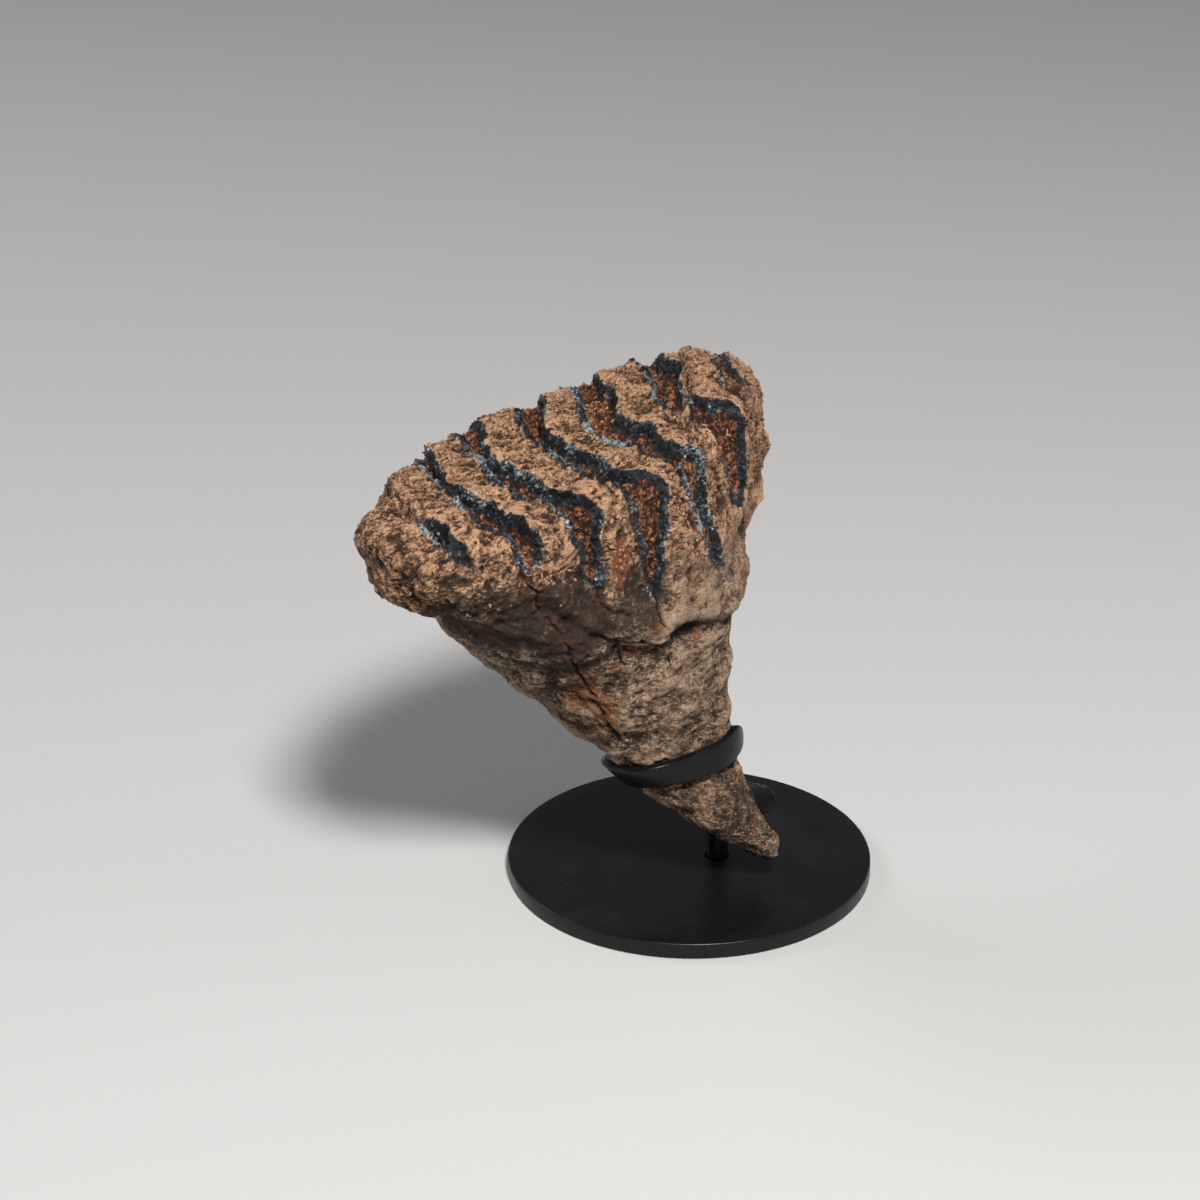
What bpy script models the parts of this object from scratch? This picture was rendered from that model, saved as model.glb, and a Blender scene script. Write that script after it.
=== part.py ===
# Woolly mammoth tooth resting in a bent strip cradle on a small round metal stand.
# Frame: origin at the centre of the base disc's underside, +Z up. +X runs along the crown
# from its rounded end to its narrow end, and -Y is the near side of the crown.
# Lengths are in millimetres here and become metres where the meshes are made.
import math

import bmesh
import bpy
import numpy as np
from mathutils import Matrix, Vector, noise
from mathutils.bvhtree import BVHTree

MM = 0.001
GAP = 0.3

# Stand
BASE_DIAMETER = 70.0
BASE_THICKNESS = 3.2
BASE_CHAMFER = 0.35
BASE_SEGMENTS = 96
POST_DIAMETER = 4.2
POST_PLACE = (3.6, -4.1)
POST_DEPTH = 2.2
POST_SEGMENTS = 24
STRIP_WIDTH = 5.4
STRIP_THICKNESS = 1.5
STRIP_CHAMFER = 0.3
STRIP_CLEARANCE = 0.65
# Height of the strip's middle at each bearing round the root, in degrees from +X.
STRIP_RISE = ((72, 19.6), (100, 22.6), (125, 26.0), (150, 28.8), (180, 30.3), (210, 31.6),
              (240, 32.0), (270, 31.8), (300, 32.2), (330, 33.8))
# The tail is the straight run of the strip past the root at the rear.
TAIL_LENGTH = 15.0
TAIL_TURN = 10.0
TAIL_DROP = 4.1
TAIL_STEPS = 8
BEARING_STEP = 4.0
PATH_SMOOTHING = 6
TILT_SMOOTHING = 12
STRIP_STEPS = 56
STRIP_END_STEPS = 7
STRIP_END_CUT = 0.02

# Slices of the tooth, seen from the near side: keel x, keel z, top x, top z.
# The keel runs from the rounded end, down the underside to the root tip and up the narrow end.
SLICES = (
    (-71.4, 80.5, -71.4, 85.5),
    (-70.4, 77.3, -70.7, 87.2),
    (-67.6, 75.0, -68.2, 88.0),
    (-60.5, 71.0, -61.5, 89.0),
    (-50.5, 61.5, -52.5, 90.6),
    (-40.5, 51.0, -44.0, 91.8),
    (-31.0, 41.5, -36.0, 93.0),
    (-22.5, 32.5, -28.5, 93.6),
    (-15.0, 23.5, -22.0, 94.2),
    (-7.5, 17.0, -17.0, 94.7),
    (-1.5, 12.0, -12.5, 95.2),
    (3.6, 8.2, -8.5, 95.8),
    (6.6, 11.5, -4.5, 96.2),
    (3.8, 20.0, 0.0, 96.4),
    (3.4, 30.0, 4.5, 96.6),
    (3.5, 40.0, 9.0, 96.5),
    (4.6, 52.0, 14.0, 96.2),
    (10.5, 63.5, 18.5, 95.6),
    (21.2, 71.5, 23.0, 93.6),
    (27.0, 78.0, 27.0, 84.0),
)
# Edges of the crown in plan: x, y.
NEAR_EDGE = ((-71.4, -2), (-70.7, -7), (-68.2, -11), (-62, -14.5), (-55, -16.5), (-45, -17.5),
             (-30, -17.5), (-20, -17), (-12, -15.5), (-4, -12), (4, -7), (12, -1), (19, 5),
             (24, 10.0), (27, 15))
FAR_EDGE = ((-71.4, 3), (-70.7, 6), (-68.2, 9.5), (-62.5, 13.5), (-55, 18.8), (-45, 22.5), (-30, 24),
            (-10, 24.5), (4, 24.5), (14, 24), (20, 22.5), (24, 20.5), (27, 17.5))
# Root below the crown: height, y of its middle, half thickness.
ROOT = ((8, -16.5, 3.4), (12, -15.3, 5.0), (18, -12.0, 6.4), (23, -9.0, 7.2), (28, -6.0, 8.0),
        (40, -2.5, 11.5), (50, -0.5, 14.5), (60, 1.5, 17.5), (70, 3.0, 19.5))
ROOT_SQUARENESS = 2.4
CROWN_BASE = 58.0
CROWN_FULL = 68.0
TOP_CROWN = 1.5
SHOULDER = 4.0
KEEL_ROUNDING = ((0, 15), (3, 17), (6, 14), (9, 9), (11, 6), (13, 8), (16, 8), (19, 5))

# Enamel plates. Each wall is given by its x at nine even places across the crown, from the
# near shoulder to the far one. "open" is how deep the plate stands open there, "foot" the
# height where it closes on the near and the far side, and "lean" how fast it leans down
# the near side.
PLATES = (
    {"left": (-62, -63, -63.5, -63.6, -63.2, -62.3, -61, -59.5, -58),
     "right": (-61, -62, -62.5, -62.7, -62.2, -61.3, -59.9, -58.4, -56.9),
     "open": (0.5, 0.6, 0.5, 0.3, 0.05, 0, 0, 0, 0), "foot": (82, 90), "lean": 0.0},
    {"left": (-54, -55.2, -55.3, -54.8, -54, -53.6, -51.8, -49.3, -46.8),
     "right": (-49, -51, -52, -52.6, -52.8, -51.5, -49, -46.3, -44),
     "open": (1, 1, 1, 0.8, 0.5, 0.9, 1, 1, 1), "foot": (82, 74), "lean": 0.0},
    {"left": (-42, -44.4, -45.3, -46, -44.8, -42.8, -40.9, -38.9, -36.8),
     "right": (-36, -41.4, -41.8, -41.9, -42, -40.6, -37, -34.5, -32.5),
     "open": (1, 1, 1, 1, 1, 1, 1, 1, 1), "foot": (74, 68), "lean": 0.0},
    {"left": (-28.5, -34, -33.8, -33.5, -32.8, -31.5, -28.7, -25.8, -23),
     "right": (-21.5, -29.9, -28.9, -30.4, -30.7, -28.5, -23.2, -19.7, -17.3),
     "open": (1, 1, 1, 1, 1, 1, 1, 1, 1), "foot": (68, 66), "lean": 0.0},
    {"left": (-17, -21, -20.5, -22.8, -22.2, -19, -15.8, -13.3, -11.5),
     "right": (-12.5, -16.2, -14.5, -17.3, -14.5, -10.9, -9.8, -7.5, -3.8),
     "open": (1, 1, 1, 1, 1, 1, 1, 1, 1), "foot": (68, 66), "lean": 0.3},
    {"left": (-10, -9.8, -7.5, -7.5, -4.8, -1.8, 1, 2.5, 4),
     "right": (-8.8, -8.6, -5, -1, 3.9, 4.2, 6, 8.2, 10.5),
     "open": (0, 0, 0.2, 0.9, 1, 1, 1, 1, 1), "foot": (90, 68), "lean": 0.42},
    {"left": (-6.5, -7, -2.8, 1.5, 5.5, 8, 10, 11.5, 13),
     "right": (4.5, 0, -1.5, 3, 7, 9.5, 11.5, 13, 14.5),
     "open": (1, 1, 0.3, 0, 0, 0, 0, 0, 0), "foot": (68, 90), "lean": 0.5},
    {"left": (8, 7.8, 10.5, 13, 15, 17, 18.5, 19.5, 20),
     "right": (13, 13.5, 15.5, 17.5, 19, 20.5, 21.5, 22.3, 22.5),
     "open": (0.2, 0.4, 0.5, 0.5, 0.7, 0.8, 0.5, 0.2, 0), "foot": (80, 90), "lean": 0.5},
)
FIRST_PLATE = -0.75
LAST_PLATE = len(PLATES) - 0.35
WALL = 0.25
LEAN_DEPTH = 24.0
FOOT_WIDTH = 0.15
FOOT_FADE = 25.0
PLATE_TOP = 90.0
# Height over one plate, from the middle of the cement before it to the middle after it.
# Phase 0 is the middle of the dentine, and the enamel walls stand at -0.25 and 0.25.
PROFILE = ((-0.5, 1.15), (-0.36, 0.6), (-0.29, 0.4), (-0.25, 0.8), (-0.2, -0.35), (-0.1, -0.85),
           (0.0, -1.0), (0.12, -1.0), (0.2, -0.8), (0.25, 1.1), (0.29, 1.6), (0.38, 1.6),
           (0.5, 1.15))
SIDE_RIDGES = 0.45
SIDE_TROUGHS = 0.8
FAR_EDGE_FADE = 0.55

# Lip where the crown ends above the root, on the near side: x, z. It stands out by LIP.
CROWN_LIP = ((-50, 78), (-44, 74), (-37, 68), (-29, 63), (-23, 61), (-13, 62), (-4, 60), (8, 58))
LIP = 1.3
# Hollows and lumps of the body: x, z, side (-1 near, 1 far, 0 both), radius x, radius z, height.
SPOTS = (
    (-43, 70, -1, 8, 6, -1.6), (-69, 80, 0, 5, 6, -1.2), (-60, 70, 0, 4, 3, -1.2),
    (-56, 82, -1, 7, 6, 1.0), (-14.5, 61, -1, 2.2, 1.6, -1.4), (-20, 66, -1, 5, 4, 0.9),
    (-7, 65, -1, 5, 4, 0.8), (-33, 55, -1, 6, 6, -0.9), (-20, 48, -1, 7, 8, 0.8),
    (-5, 40, -1, 6, 8, 0.5), (-45, 70, 1, 7, 8, -1.2), (-25, 62, 1, 8, 6, 1.0),
    (-5, 55, 1, 7, 9, -1.0), (-15, 40, 1, 6, 8, 0.8), (23, 89, -1, 4, 3, 0.9),
    (24, 77, -1, 5, 4, 1.0), (18, 70.5, -1, 6, 4.5, 2.6),
)
LUMP_SIZE = 9.0
LUMP_HEIGHT = 0.9
LUMP_START = Vector((3.7, 1.9, 5.3))

# Mesh steps: over one plate, at the ends, and from the middle of the top down to the keel.
PLATE_STEPS = (-0.5, -0.34, -0.25, -0.2, -0.07, 0.08, 0.2, 0.25, 0.34)
FIRST_STEPS = 6
TOP_STEPS = 7
SHOULDER_STEPS = 3
SIDE_PLACES = (0.03, 0.07, 0.12, 0.18, 0.25, 0.33, 0.42, 0.53, 0.65, 0.77, 0.87, 0.94, 0.98, 1)
TOP_END = 0.3
SHOULDER_END = 0.4
SHOULDER_SHARE = 0.8


def through(points, at):
    """Smooth curve through hand-placed points, read at the given values."""
    points = np.asarray(points, float)
    x, y = points[:, 0], points[:, 1]
    at = np.clip(at, x[0], x[-1])
    slope = np.diff(y) / np.diff(x)
    tangent = np.concatenate([[slope[0]], (slope[1:] + slope[:-1]) / 2, [slope[-1]]])
    turns_back = np.concatenate([[False], slope[1:] * slope[:-1] <= 0, [False]])
    tangent[turns_back] = 0
    i = np.clip(np.searchsorted(x, at, side="right") - 1, 0, len(x) - 2)
    width = x[i + 1] - x[i]
    f = (at - x[i]) / width
    start = (1 + 2 * f) * (1 - f) ** 2 * y[i] + f * (1 - f) ** 2 * width * tangent[i]
    end = f * f * (3 - 2 * f) * y[i + 1] + f * f * (f - 1) * width * tangent[i + 1]
    return start + end


def ramp(low, high, value):
    """Smooth step from 0 to 1, downwards when low is above high."""
    f = np.clip((value - low) / (high - low), 0, 1)
    return f * f * (3 - 2 * f)


def slice_value(column, s):
    return through([(i, row[column]) for i, row in enumerate(SLICES)], s)


def slice_at(top_x):
    return np.interp(top_x, [row[2] for row in SLICES], np.arange(len(SLICES)))


def crown_edges(x):
    return through(NEAR_EDGE, x), through(FAR_EDGE, x)


def root_outline(z):
    """Left and right ends of a level cut through the root."""
    keel = [(row[1], row[0]) for row in SLICES]
    tip = keel.index(min(keel))
    return through(keel[tip::-1], z), through(keel[tip:], z)


def place_across(turn):
    """Place across the crown, -1 at the near shoulder and 1 at the far one."""
    a = np.abs(turn)
    corner = np.clip((a - TOP_END) / (SHOULDER_END - TOP_END), 0, 1) * math.pi / 2
    flat = np.clip(a / TOP_END, 0, 1) * SHOULDER_SHARE
    return np.sign(turn) * (flat + (1 - SHOULDER_SHARE) * np.sin(corner))


def read_across(values, across):
    return through(list(zip(np.linspace(-1, 1, len(values)), values)), across)


def wall_slices(number, side, turn):
    """Slice numbers that one enamel wall passes through, round the loop."""
    plate = PLATES[number]
    across = place_across(turn)
    left, right = (read_across(plate[name], across) for name in ("left", "right"))
    down = np.clip((np.abs(turn) - SHOULDER_END) / (1 - SHOULDER_END), 0, 1)
    s = slice_at((left + right) / 2)
    depth = SHOULDER + down * (slice_value(3, s) - slice_value(1, s) - SHOULDER)
    foot = np.where(turn < 0, *plate["foot"])
    lean = np.where(turn < 0, plate["lean"] * np.clip(depth - SHOULDER, 0, LEAN_DEPTH), 0)
    height = slice_value(3, s) - depth
    narrow = np.clip((height - foot) / (PLATE_TOP - foot + 0.01), 0, 1) ** 0.7
    narrow = FOOT_WIDTH + (1 - FOOT_WIDTH) * np.maximum(narrow, ramp(0, FOOT_FADE, foot - height))
    narrow = np.where(down > 0, narrow, 1)
    s = slice_at((left + right) / 2 + lean + np.sign(side) * (right - left) / 2 * narrow)
    share = (number + side - FIRST_PLATE) / (LAST_PLATE - FIRST_PLATE)
    keel = share * (len(SLICES) - 1)
    return s + (keel - s) * ramp(0.3, 1, down)


def slice_grid(plate, turn):
    """Slice number for every plate coordinate (rows) and place round the loop (columns)."""
    knots = [FIRST_PLATE]
    lines = [np.zeros(turn.shape)]
    for number in range(len(PLATES)):
        for side in (-WALL, WALL):
            knots.append(number + side)
            lines.append(wall_slices(number, side, turn))
    knots.append(LAST_PLATE)
    lines.append(np.full(turn.shape, len(SLICES) - 1.0))
    lines = np.maximum.accumulate(np.array(lines), axis=0)
    return np.array([np.interp(plate, knots, lines[:, j]) for j in range(len(turn))]).T


def level_section(x, z, edge):
    """Middle and half thickness, along Y, of the level cut through the body at x and z."""
    near, far = crown_edges(x)
    crown = ramp(CROWN_BASE, CROWN_FULL, z)
    level = np.clip(z, ROOT[0][0], ROOT[-1][0])
    root_middle = through([row[:2] for row in ROOT], level)
    root_half = through([row[::2] for row in ROOT], level)
    left, right = root_outline(z)
    place = np.abs(x - (left + right) / 2) / np.maximum((right - left) / 2, 0.01)
    oval = (1 - np.clip(place, 0, 1) ** ROOT_SQUARENESS) ** (1 / ROOT_SQUARENESS)
    rounded = np.sqrt(np.clip(1 - (1 - edge) ** 2, 0, 1))
    middle = root_middle * (1 - crown) + (near + far) / 2 * crown
    half = root_half * (1 - crown) + (far - near) / 2 * crown
    return middle, half * (oval * (1 - crown) + rounded * crown)


def body_surface(s, turn):
    """Point of the smooth tooth body. turn is 0 on top, -1 and 1 at the keel."""
    a = np.abs(turn)
    keel_x, keel_z, top_x, top_z = (slice_value(c, s) for c in range(4))
    length = np.hypot(top_x - keel_x, top_z - keel_z)
    near, far = crown_edges(top_x)
    half_top = (far - near) / 2
    shoulder = np.minimum(SHOULDER, 0.6 * half_top)
    on_top = np.clip(a / TOP_END, 0, 1)
    corner = np.clip((a - TOP_END) / (SHOULDER_END - TOP_END), 0, 1) * math.pi / 2
    down = np.clip((a - SHOULDER_END) / (1 - SHOULDER_END), 0, 1)
    drop = shoulder * (1 - np.cos(corner)) + down * np.maximum(length - shoulder, 0)
    h = np.clip(1 - drop / np.maximum(length, 0.01), 0, 1)
    x = keel_x + (top_x - keel_x) * h
    z = keel_z + (top_z - keel_z) * h
    rounding = np.minimum(through(KEEL_ROUNDING, s), 0.75 * length + 0.01)
    middle, half = level_section(x, z, np.clip(h * length / rounding, 0, 1))
    reach = np.where(a < TOP_END, on_top * (half - shoulder),
                     half - shoulder * (1 - np.sin(corner)))
    z = z + TOP_CROWN * (1 - on_top ** 2) * np.clip(half_top / 15, 0, 1)
    return x, middle + np.sign(turn) * np.maximum(reach, 0), z


def plate_opening(number, turn, z):
    """How far each plate stands open, from 0 to 1."""
    opening = np.zeros(number.shape)
    across = place_across(turn)
    for k, plate in enumerate(PLATES):
        foot = np.where(turn < 0, *plate["foot"])
        side = ramp(-1, 7, z - foot)
        opening = np.where(number == k, read_across(plate["open"], across) * side, opening)
    return opening


def plate_relief(plate, turn, z):
    """Height of the ridges, walls and troughs over the smooth body."""
    number = np.clip(np.rint(plate), 0, len(PLATES) - 1).astype(int)
    phase = np.clip(plate - number, -0.5, 0.5)
    height = through(PROFILE, phase)
    opening = plate_opening(number, turn, z)
    down = ramp(TOP_END, SHOULDER_END + 0.05, np.abs(turn))
    edge = 1 - FAR_EDGE_FADE * ramp(0.6, 1, place_across(turn))
    ends = ramp(FIRST_PLATE, 0.3, plate + down * -1.2) * ramp(LAST_PLATE, 7, plate)
    ridges = height * ramp(60, 80, z) * (1 - (1 - SIDE_RIDGES) * down)
    troughs = height * opening * (1 - (1 - SIDE_TROUGHS) * down)
    return np.where(height > 0, ridges * ends, troughs) * edge


def body_spots(points, turn):
    """Hollows, lumps and the lip at the crown's base."""
    x, z = points[..., 0], points[..., 2]
    height = np.zeros(x.shape)
    on_side = ramp(TOP_END, SHOULDER_END, np.abs(turn))
    for spot_x, spot_z, side, radius_x, radius_z, rise in SPOTS:
        near = ((x - spot_x) / radius_x) ** 2 + ((z - spot_z) / radius_z) ** 2
        here = 1 if side == 0 else (np.sign(turn) == side)
        height += rise * np.exp(-near) * here * on_side
    above = z - through(CROWN_LIP, x)
    lip = LIP * (ramp(-1.5, 1.5, above) - ramp(1.5, 12, above))
    crease = -0.9 * LIP * np.exp(-((above + 1.9) / 1.3) ** 2)
    inside = ramp(-52, -42, x) * ramp(8, -3, x) * (turn < 0) * on_side
    return height + (lip + crease) * inside


def lumps(points):
    height = [noise.noise(Vector(p) / LUMP_SIZE + LUMP_START) for p in points.reshape(-1, 3)]
    return np.array(height).reshape(points.shape[:-1]) * LUMP_HEIGHT


def loop_steps():
    """Places from the keel up the near side, over the top and down the far side."""
    top = np.linspace(0, TOP_END, TOP_STEPS + 1)
    corner = np.linspace(TOP_END, SHOULDER_END, SHOULDER_STEPS + 1)[1:]
    down = SHOULDER_END + (1 - SHOULDER_END) * np.array(SIDE_PLACES)
    half = np.concatenate([top, corner, down])
    return np.concatenate([-half[:0:-1], half[:-1]])


def plate_steps():
    before = np.linspace(FIRST_PLATE, -0.5, FIRST_STEPS + 1)[1:-1]
    middle = [k + step for k in range(len(PLATES)) for step in PLATE_STEPS]
    return np.concatenate([before, middle, [LAST_PLATE - 0.18, LAST_PLATE - 0.06]])


def tooth_grid():
    turn = loop_steps()
    plate = plate_steps()
    s = slice_grid(plate, turn)
    turns = np.broadcast_to(turn, s.shape)
    plates = np.broadcast_to(plate[:, None], s.shape)
    points = np.stack(body_surface(s, turns), -1)
    along = np.gradient(points, axis=0)
    around = np.roll(points, -1, axis=1) - np.roll(points, 1, axis=1)
    normal = np.cross(along, around)
    normal /= np.linalg.norm(normal, axis=-1, keepdims=True) + 1e-9
    height = plate_relief(plates, turns, points[..., 2]) + body_spots(points, turns)
    return points + normal * (height + lumps(points))[..., None]


def make_material(name, colour, roughness, metallic):
    material = bpy.data.materials.new(name)
    material.use_nodes = True
    shader = material.node_tree.nodes["Principled BSDF"]
    shader.inputs["Base Color"].default_value = (*colour, 1)
    shader.inputs["Roughness"].default_value = roughness
    shader.inputs["Metallic"].default_value = metallic
    return material


def fossil_tooth():
    return make_material("fossil_tooth", (0.28, 0.17, 0.10), 0.8, 0.0)


def black_metal():
    return make_material("black_metal", (0.012, 0.012, 0.014), 0.35, 0.4)


def add_object(name, mesh, material, parent):
    data = bpy.data.meshes.new(name)
    bmesh.ops.recalc_face_normals(mesh, faces=mesh.faces)
    mesh.to_mesh(data)
    mesh.free()
    data.materials.append(material)
    data.shade_smooth()
    data.set_sharp_from_angle(angle=math.radians(40))
    piece = bpy.data.objects.new(name, data)
    piece.parent = parent
    bpy.context.scene.collection.objects.link(piece)
    return piece


def add_rings(mesh, rings):
    """Skin of rings of points, closed at both ends."""
    rings = [[mesh.verts.new(Vector(p) * MM) for p in ring] for ring in rings]
    count = len(rings[0])
    for a, b in zip(rings, rings[1:]):
        for j in range(count):
            k = (j + 1) % count
            mesh.faces.new((a[j], a[k], b[k], b[j]))
    return rings[0], rings[-1]


def make_tooth(parent):
    grid = tooth_grid()
    mesh = bmesh.new()
    for ring in add_rings(mesh, grid):
        middle = sum((v.co for v in ring), Vector()) / len(ring)
        pole = mesh.verts.new(middle)
        for j, vertex in enumerate(ring):
            mesh.faces.new((pole, vertex, ring[(j + 1) % len(ring)]))
    return add_object("tooth", mesh, fossil_tooth(), parent)


def turned(profile, segments):
    """Rings of a turned shape from its radius and height points."""
    bearings = [2 * math.pi * j / segments for j in range(segments)]
    return [[(r * math.cos(t), r * math.sin(t), z) for t in bearings] for r, z in profile]


def make_base(parent, material):
    radius = BASE_DIAMETER / 2
    top = BASE_THICKNESS
    profile = [(radius - BASE_CHAMFER, 0), (radius, BASE_CHAMFER), (radius, top - BASE_CHAMFER),
               (radius - BASE_CHAMFER, top)]
    mesh = bmesh.new()
    for ring in add_rings(mesh, turned(profile, BASE_SEGMENTS)):
        mesh.faces.new(ring)
    base = add_object("base_disc", mesh, material, parent)
    drill = bmesh.new()
    hole = Matrix.Translation(Vector((*POST_PLACE, top)) * MM)
    bmesh.ops.create_cone(drill, cap_ends=True, segments=POST_SEGMENTS, matrix=hole,
                          radius1=(POST_DIAMETER / 2 + GAP) * MM,
                          radius2=(POST_DIAMETER / 2 + GAP) * MM,
                          depth=2 * (POST_DEPTH + GAP) * MM)
    cutter = add_object("post_hole_cutter", drill, material, parent)
    cutter.hide_render = True
    cutter.display_type = "WIRE"
    cut = base.modifiers.new("post_hole", "BOOLEAN")
    cut.object = cutter
    cut.operation = "DIFFERENCE"
    return base


def skin_tree(piece):
    return BVHTree.FromPolygons([v.co / MM for v in piece.data.vertices],
                                [p.vertices for p in piece.data.polygons])


def root_skin(tree, bearing, z):
    """Point of the root's skin at a height, seen from its middle at a bearing."""
    left, right = (float(v) for v in root_outline(np.array(z)))
    middle = Vector(((left + right) / 2, float(through([row[:2] for row in ROOT], z)), z))
    out = Vector((math.cos(bearing), math.sin(bearing), 0))
    return tree.ray_cast(middle + out * 60, -out)[0]


def smooth(points, rounds):
    for _ in range(rounds):
        points[1:-1] = (points[:-2] + 2 * points[1:-1] + points[2:]) / 4
    return points


def strip_edges(tooth):
    """Skin of the root under the strip's lower and upper edge."""
    tree = skin_tree(tooth)
    bearings = np.arange(STRIP_RISE[0][0], STRIP_RISE[-1][0] + 0.1, BEARING_STEP)
    heights = through(STRIP_RISE, bearings)
    return [np.array([root_skin(tree, bearing, z) for bearing, z in
                      zip(np.radians(bearings), heights + half)])
            for half in (-STRIP_WIDTH / 2, STRIP_WIDTH / 2)]


def tail_points(start, along):
    """Points of the tail from its tip to where the strip leaves the root."""
    points = []
    bend = -math.radians(TAIL_TURN) / TAIL_STEPS
    slope = TAIL_DROP / TAIL_LENGTH
    heading = math.atan2(along[1], along[0])
    place = start
    for _ in range(TAIL_STEPS):
        heading += bend
        level = math.sqrt(1 - slope ** 2)
        step = np.array([math.cos(heading) * level, math.sin(heading) * level, -slope])
        place = place + step * TAIL_LENGTH / TAIL_STEPS
        points.append(place)
    return points[::-1]


def strip_frames(tooth):
    """Points, upward and outward directions along the strip, from its rear tip to its front."""
    low, high = strip_edges(tooth)
    middle = smooth((low + high) / 2, PATH_SMOOTHING)
    up = smooth(high - low, TILT_SMOOTHING)
    middle = np.concatenate([tail_points(middle[0], middle[0] - middle[1]), middle])
    up = np.concatenate([np.tile(up[0], (TAIL_STEPS, 1)), up])
    tangent = np.gradient(middle, axis=0)
    tangent /= np.linalg.norm(tangent, axis=1, keepdims=True)
    up = up - (up * tangent).sum(1, keepdims=True) * tangent
    up /= np.linalg.norm(up, axis=1, keepdims=True)
    out = np.cross(tangent, up)
    return middle + out * (STRIP_THICKNESS / 2 + STRIP_CLEARANCE), up, out


def strip_section(wide):
    """Corners of the strip's cross section, as upward and outward offsets."""
    thick = STRIP_THICKNESS / 2
    inner = thick - STRIP_CHAMFER
    flat = wide - min(STRIP_CHAMFER, wide / 2)
    return ((-flat, -thick), (flat, -thick), (wide, -inner), (wide, inner),
            (flat, thick), (-flat, thick), (-wide, inner), (-wide, -inner))


def make_strip(tooth, parent, material):
    frames = strip_frames(tooth)
    steps = np.linalg.norm(np.diff(frames[0], axis=0), axis=1)
    run = np.concatenate([[0], np.cumsum(steps)])
    length = run[-1]
    half = STRIP_WIDTH / 2
    ends = half * (1 - np.cos(np.linspace(0, math.pi / 2, STRIP_END_STEPS)))
    ends[0] = STRIP_END_CUT
    straight = np.linspace(half, length - half, STRIP_STEPS)[1:-1]
    rings = []
    for place in np.concatenate([ends, straight, length - ends[::-1]]):
        centre, up, out = (np.array([np.interp(place, run, values[:, c]) for c in range(3)])
                           for values in frames)
        end = min(place, length - place, half)
        wide = math.sqrt(half ** 2 - (half - end) ** 2)
        rings.append([centre + up * u + out * o for u, o in strip_section(wide)])
    mesh = bmesh.new()
    for ring in add_rings(mesh, rings):
        mesh.faces.new(ring)
    return add_object("cradle_strip", mesh, material, parent)


def under_strip(strip):
    """Height of the strip's lowest point over the post."""
    tree = skin_tree(strip)
    radius = POST_DIAMETER / 2
    heights = []
    for share in (0.0, 0.5, 1.0):
        for j in range(POST_SEGMENTS):
            bearing = 2 * math.pi * j / POST_SEGMENTS
            x = POST_PLACE[0] + radius * share * math.cos(bearing)
            y = POST_PLACE[1] + radius * share * math.sin(bearing)
            hit = tree.ray_cast(Vector((x, y, BASE_THICKNESS)), Vector((0, 0, 1)))[0]
            if hit:
                heights.append(hit.z)
    return min(heights)


def make_post(strip, parent, material):
    """Round rod from the hole in the base up to just under the strip's lower edge."""
    radius = POST_DIAMETER / 2
    top = under_strip(strip) - GAP
    mesh = bmesh.new()
    rings = turned([(radius, BASE_THICKNESS - POST_DEPTH), (radius, top)], POST_SEGMENTS)
    for ring in add_rings(mesh, rings):
        mesh.faces.new(ring)
    post = add_object("post", mesh, material, parent)
    post.location = Vector((*POST_PLACE, 0)) * MM
    return post


def main():
    for item in list(bpy.data.objects):
        bpy.data.objects.remove(item)
    stand = bpy.data.objects.new("stand", None)
    bpy.context.scene.collection.objects.link(stand)
    metal = black_metal()
    tooth = make_tooth(stand)
    make_base(stand, metal)
    strip = make_strip(tooth, stand, metal)
    make_post(strip, stand, metal)


main()
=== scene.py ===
import math

import bmesh
import bpy
import numpy as np
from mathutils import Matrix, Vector, noise
from mathutils.bvhtree import BVHTree


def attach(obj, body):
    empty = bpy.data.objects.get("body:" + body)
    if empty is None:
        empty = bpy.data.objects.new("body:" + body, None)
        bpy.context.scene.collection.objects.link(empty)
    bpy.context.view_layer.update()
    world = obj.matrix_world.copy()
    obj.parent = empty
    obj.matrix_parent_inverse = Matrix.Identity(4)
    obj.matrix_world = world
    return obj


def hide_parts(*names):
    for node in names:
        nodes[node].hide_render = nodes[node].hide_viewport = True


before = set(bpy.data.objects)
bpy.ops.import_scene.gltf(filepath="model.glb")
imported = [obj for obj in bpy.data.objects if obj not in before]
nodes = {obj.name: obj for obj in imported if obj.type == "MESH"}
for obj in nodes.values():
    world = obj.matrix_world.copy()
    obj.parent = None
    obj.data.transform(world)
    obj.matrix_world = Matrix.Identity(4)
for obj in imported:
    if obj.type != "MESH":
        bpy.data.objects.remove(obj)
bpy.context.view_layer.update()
scene = bpy.context.scene
mm = 0.001


def through(points, at):
    # smooth curve through a few given points
    points = np.asarray(points, float)
    x, y = points[:, 0], points[:, 1]
    at = np.clip(at, x[0], x[-1])
    slope = np.diff(y) / np.diff(x)
    tangent = np.concatenate([[slope[0]], (slope[1:] + slope[:-1]) / 2, [slope[-1]]])
    tangent[np.concatenate([[False], slope[1:] * slope[:-1] <= 0, [False]])] = 0
    i = np.clip(np.searchsorted(x, at, side="right") - 1, 0, len(x) - 2)
    width = x[i + 1] - x[i]
    f = (at - x[i]) / width
    start = (1 + 2 * f) * (1 - f) ** 2 * y[i] + f * (1 - f) ** 2 * width * tangent[i]
    return start + f * f * (3 - 2 * f) * y[i + 1] + f * f * (f - 1) * width * tangent[i + 1]


def ramp(low, high, value):
    f = np.clip((value - low) / (high - low), 0, 1)
    return f * f * (3 - 2 * f)


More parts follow.
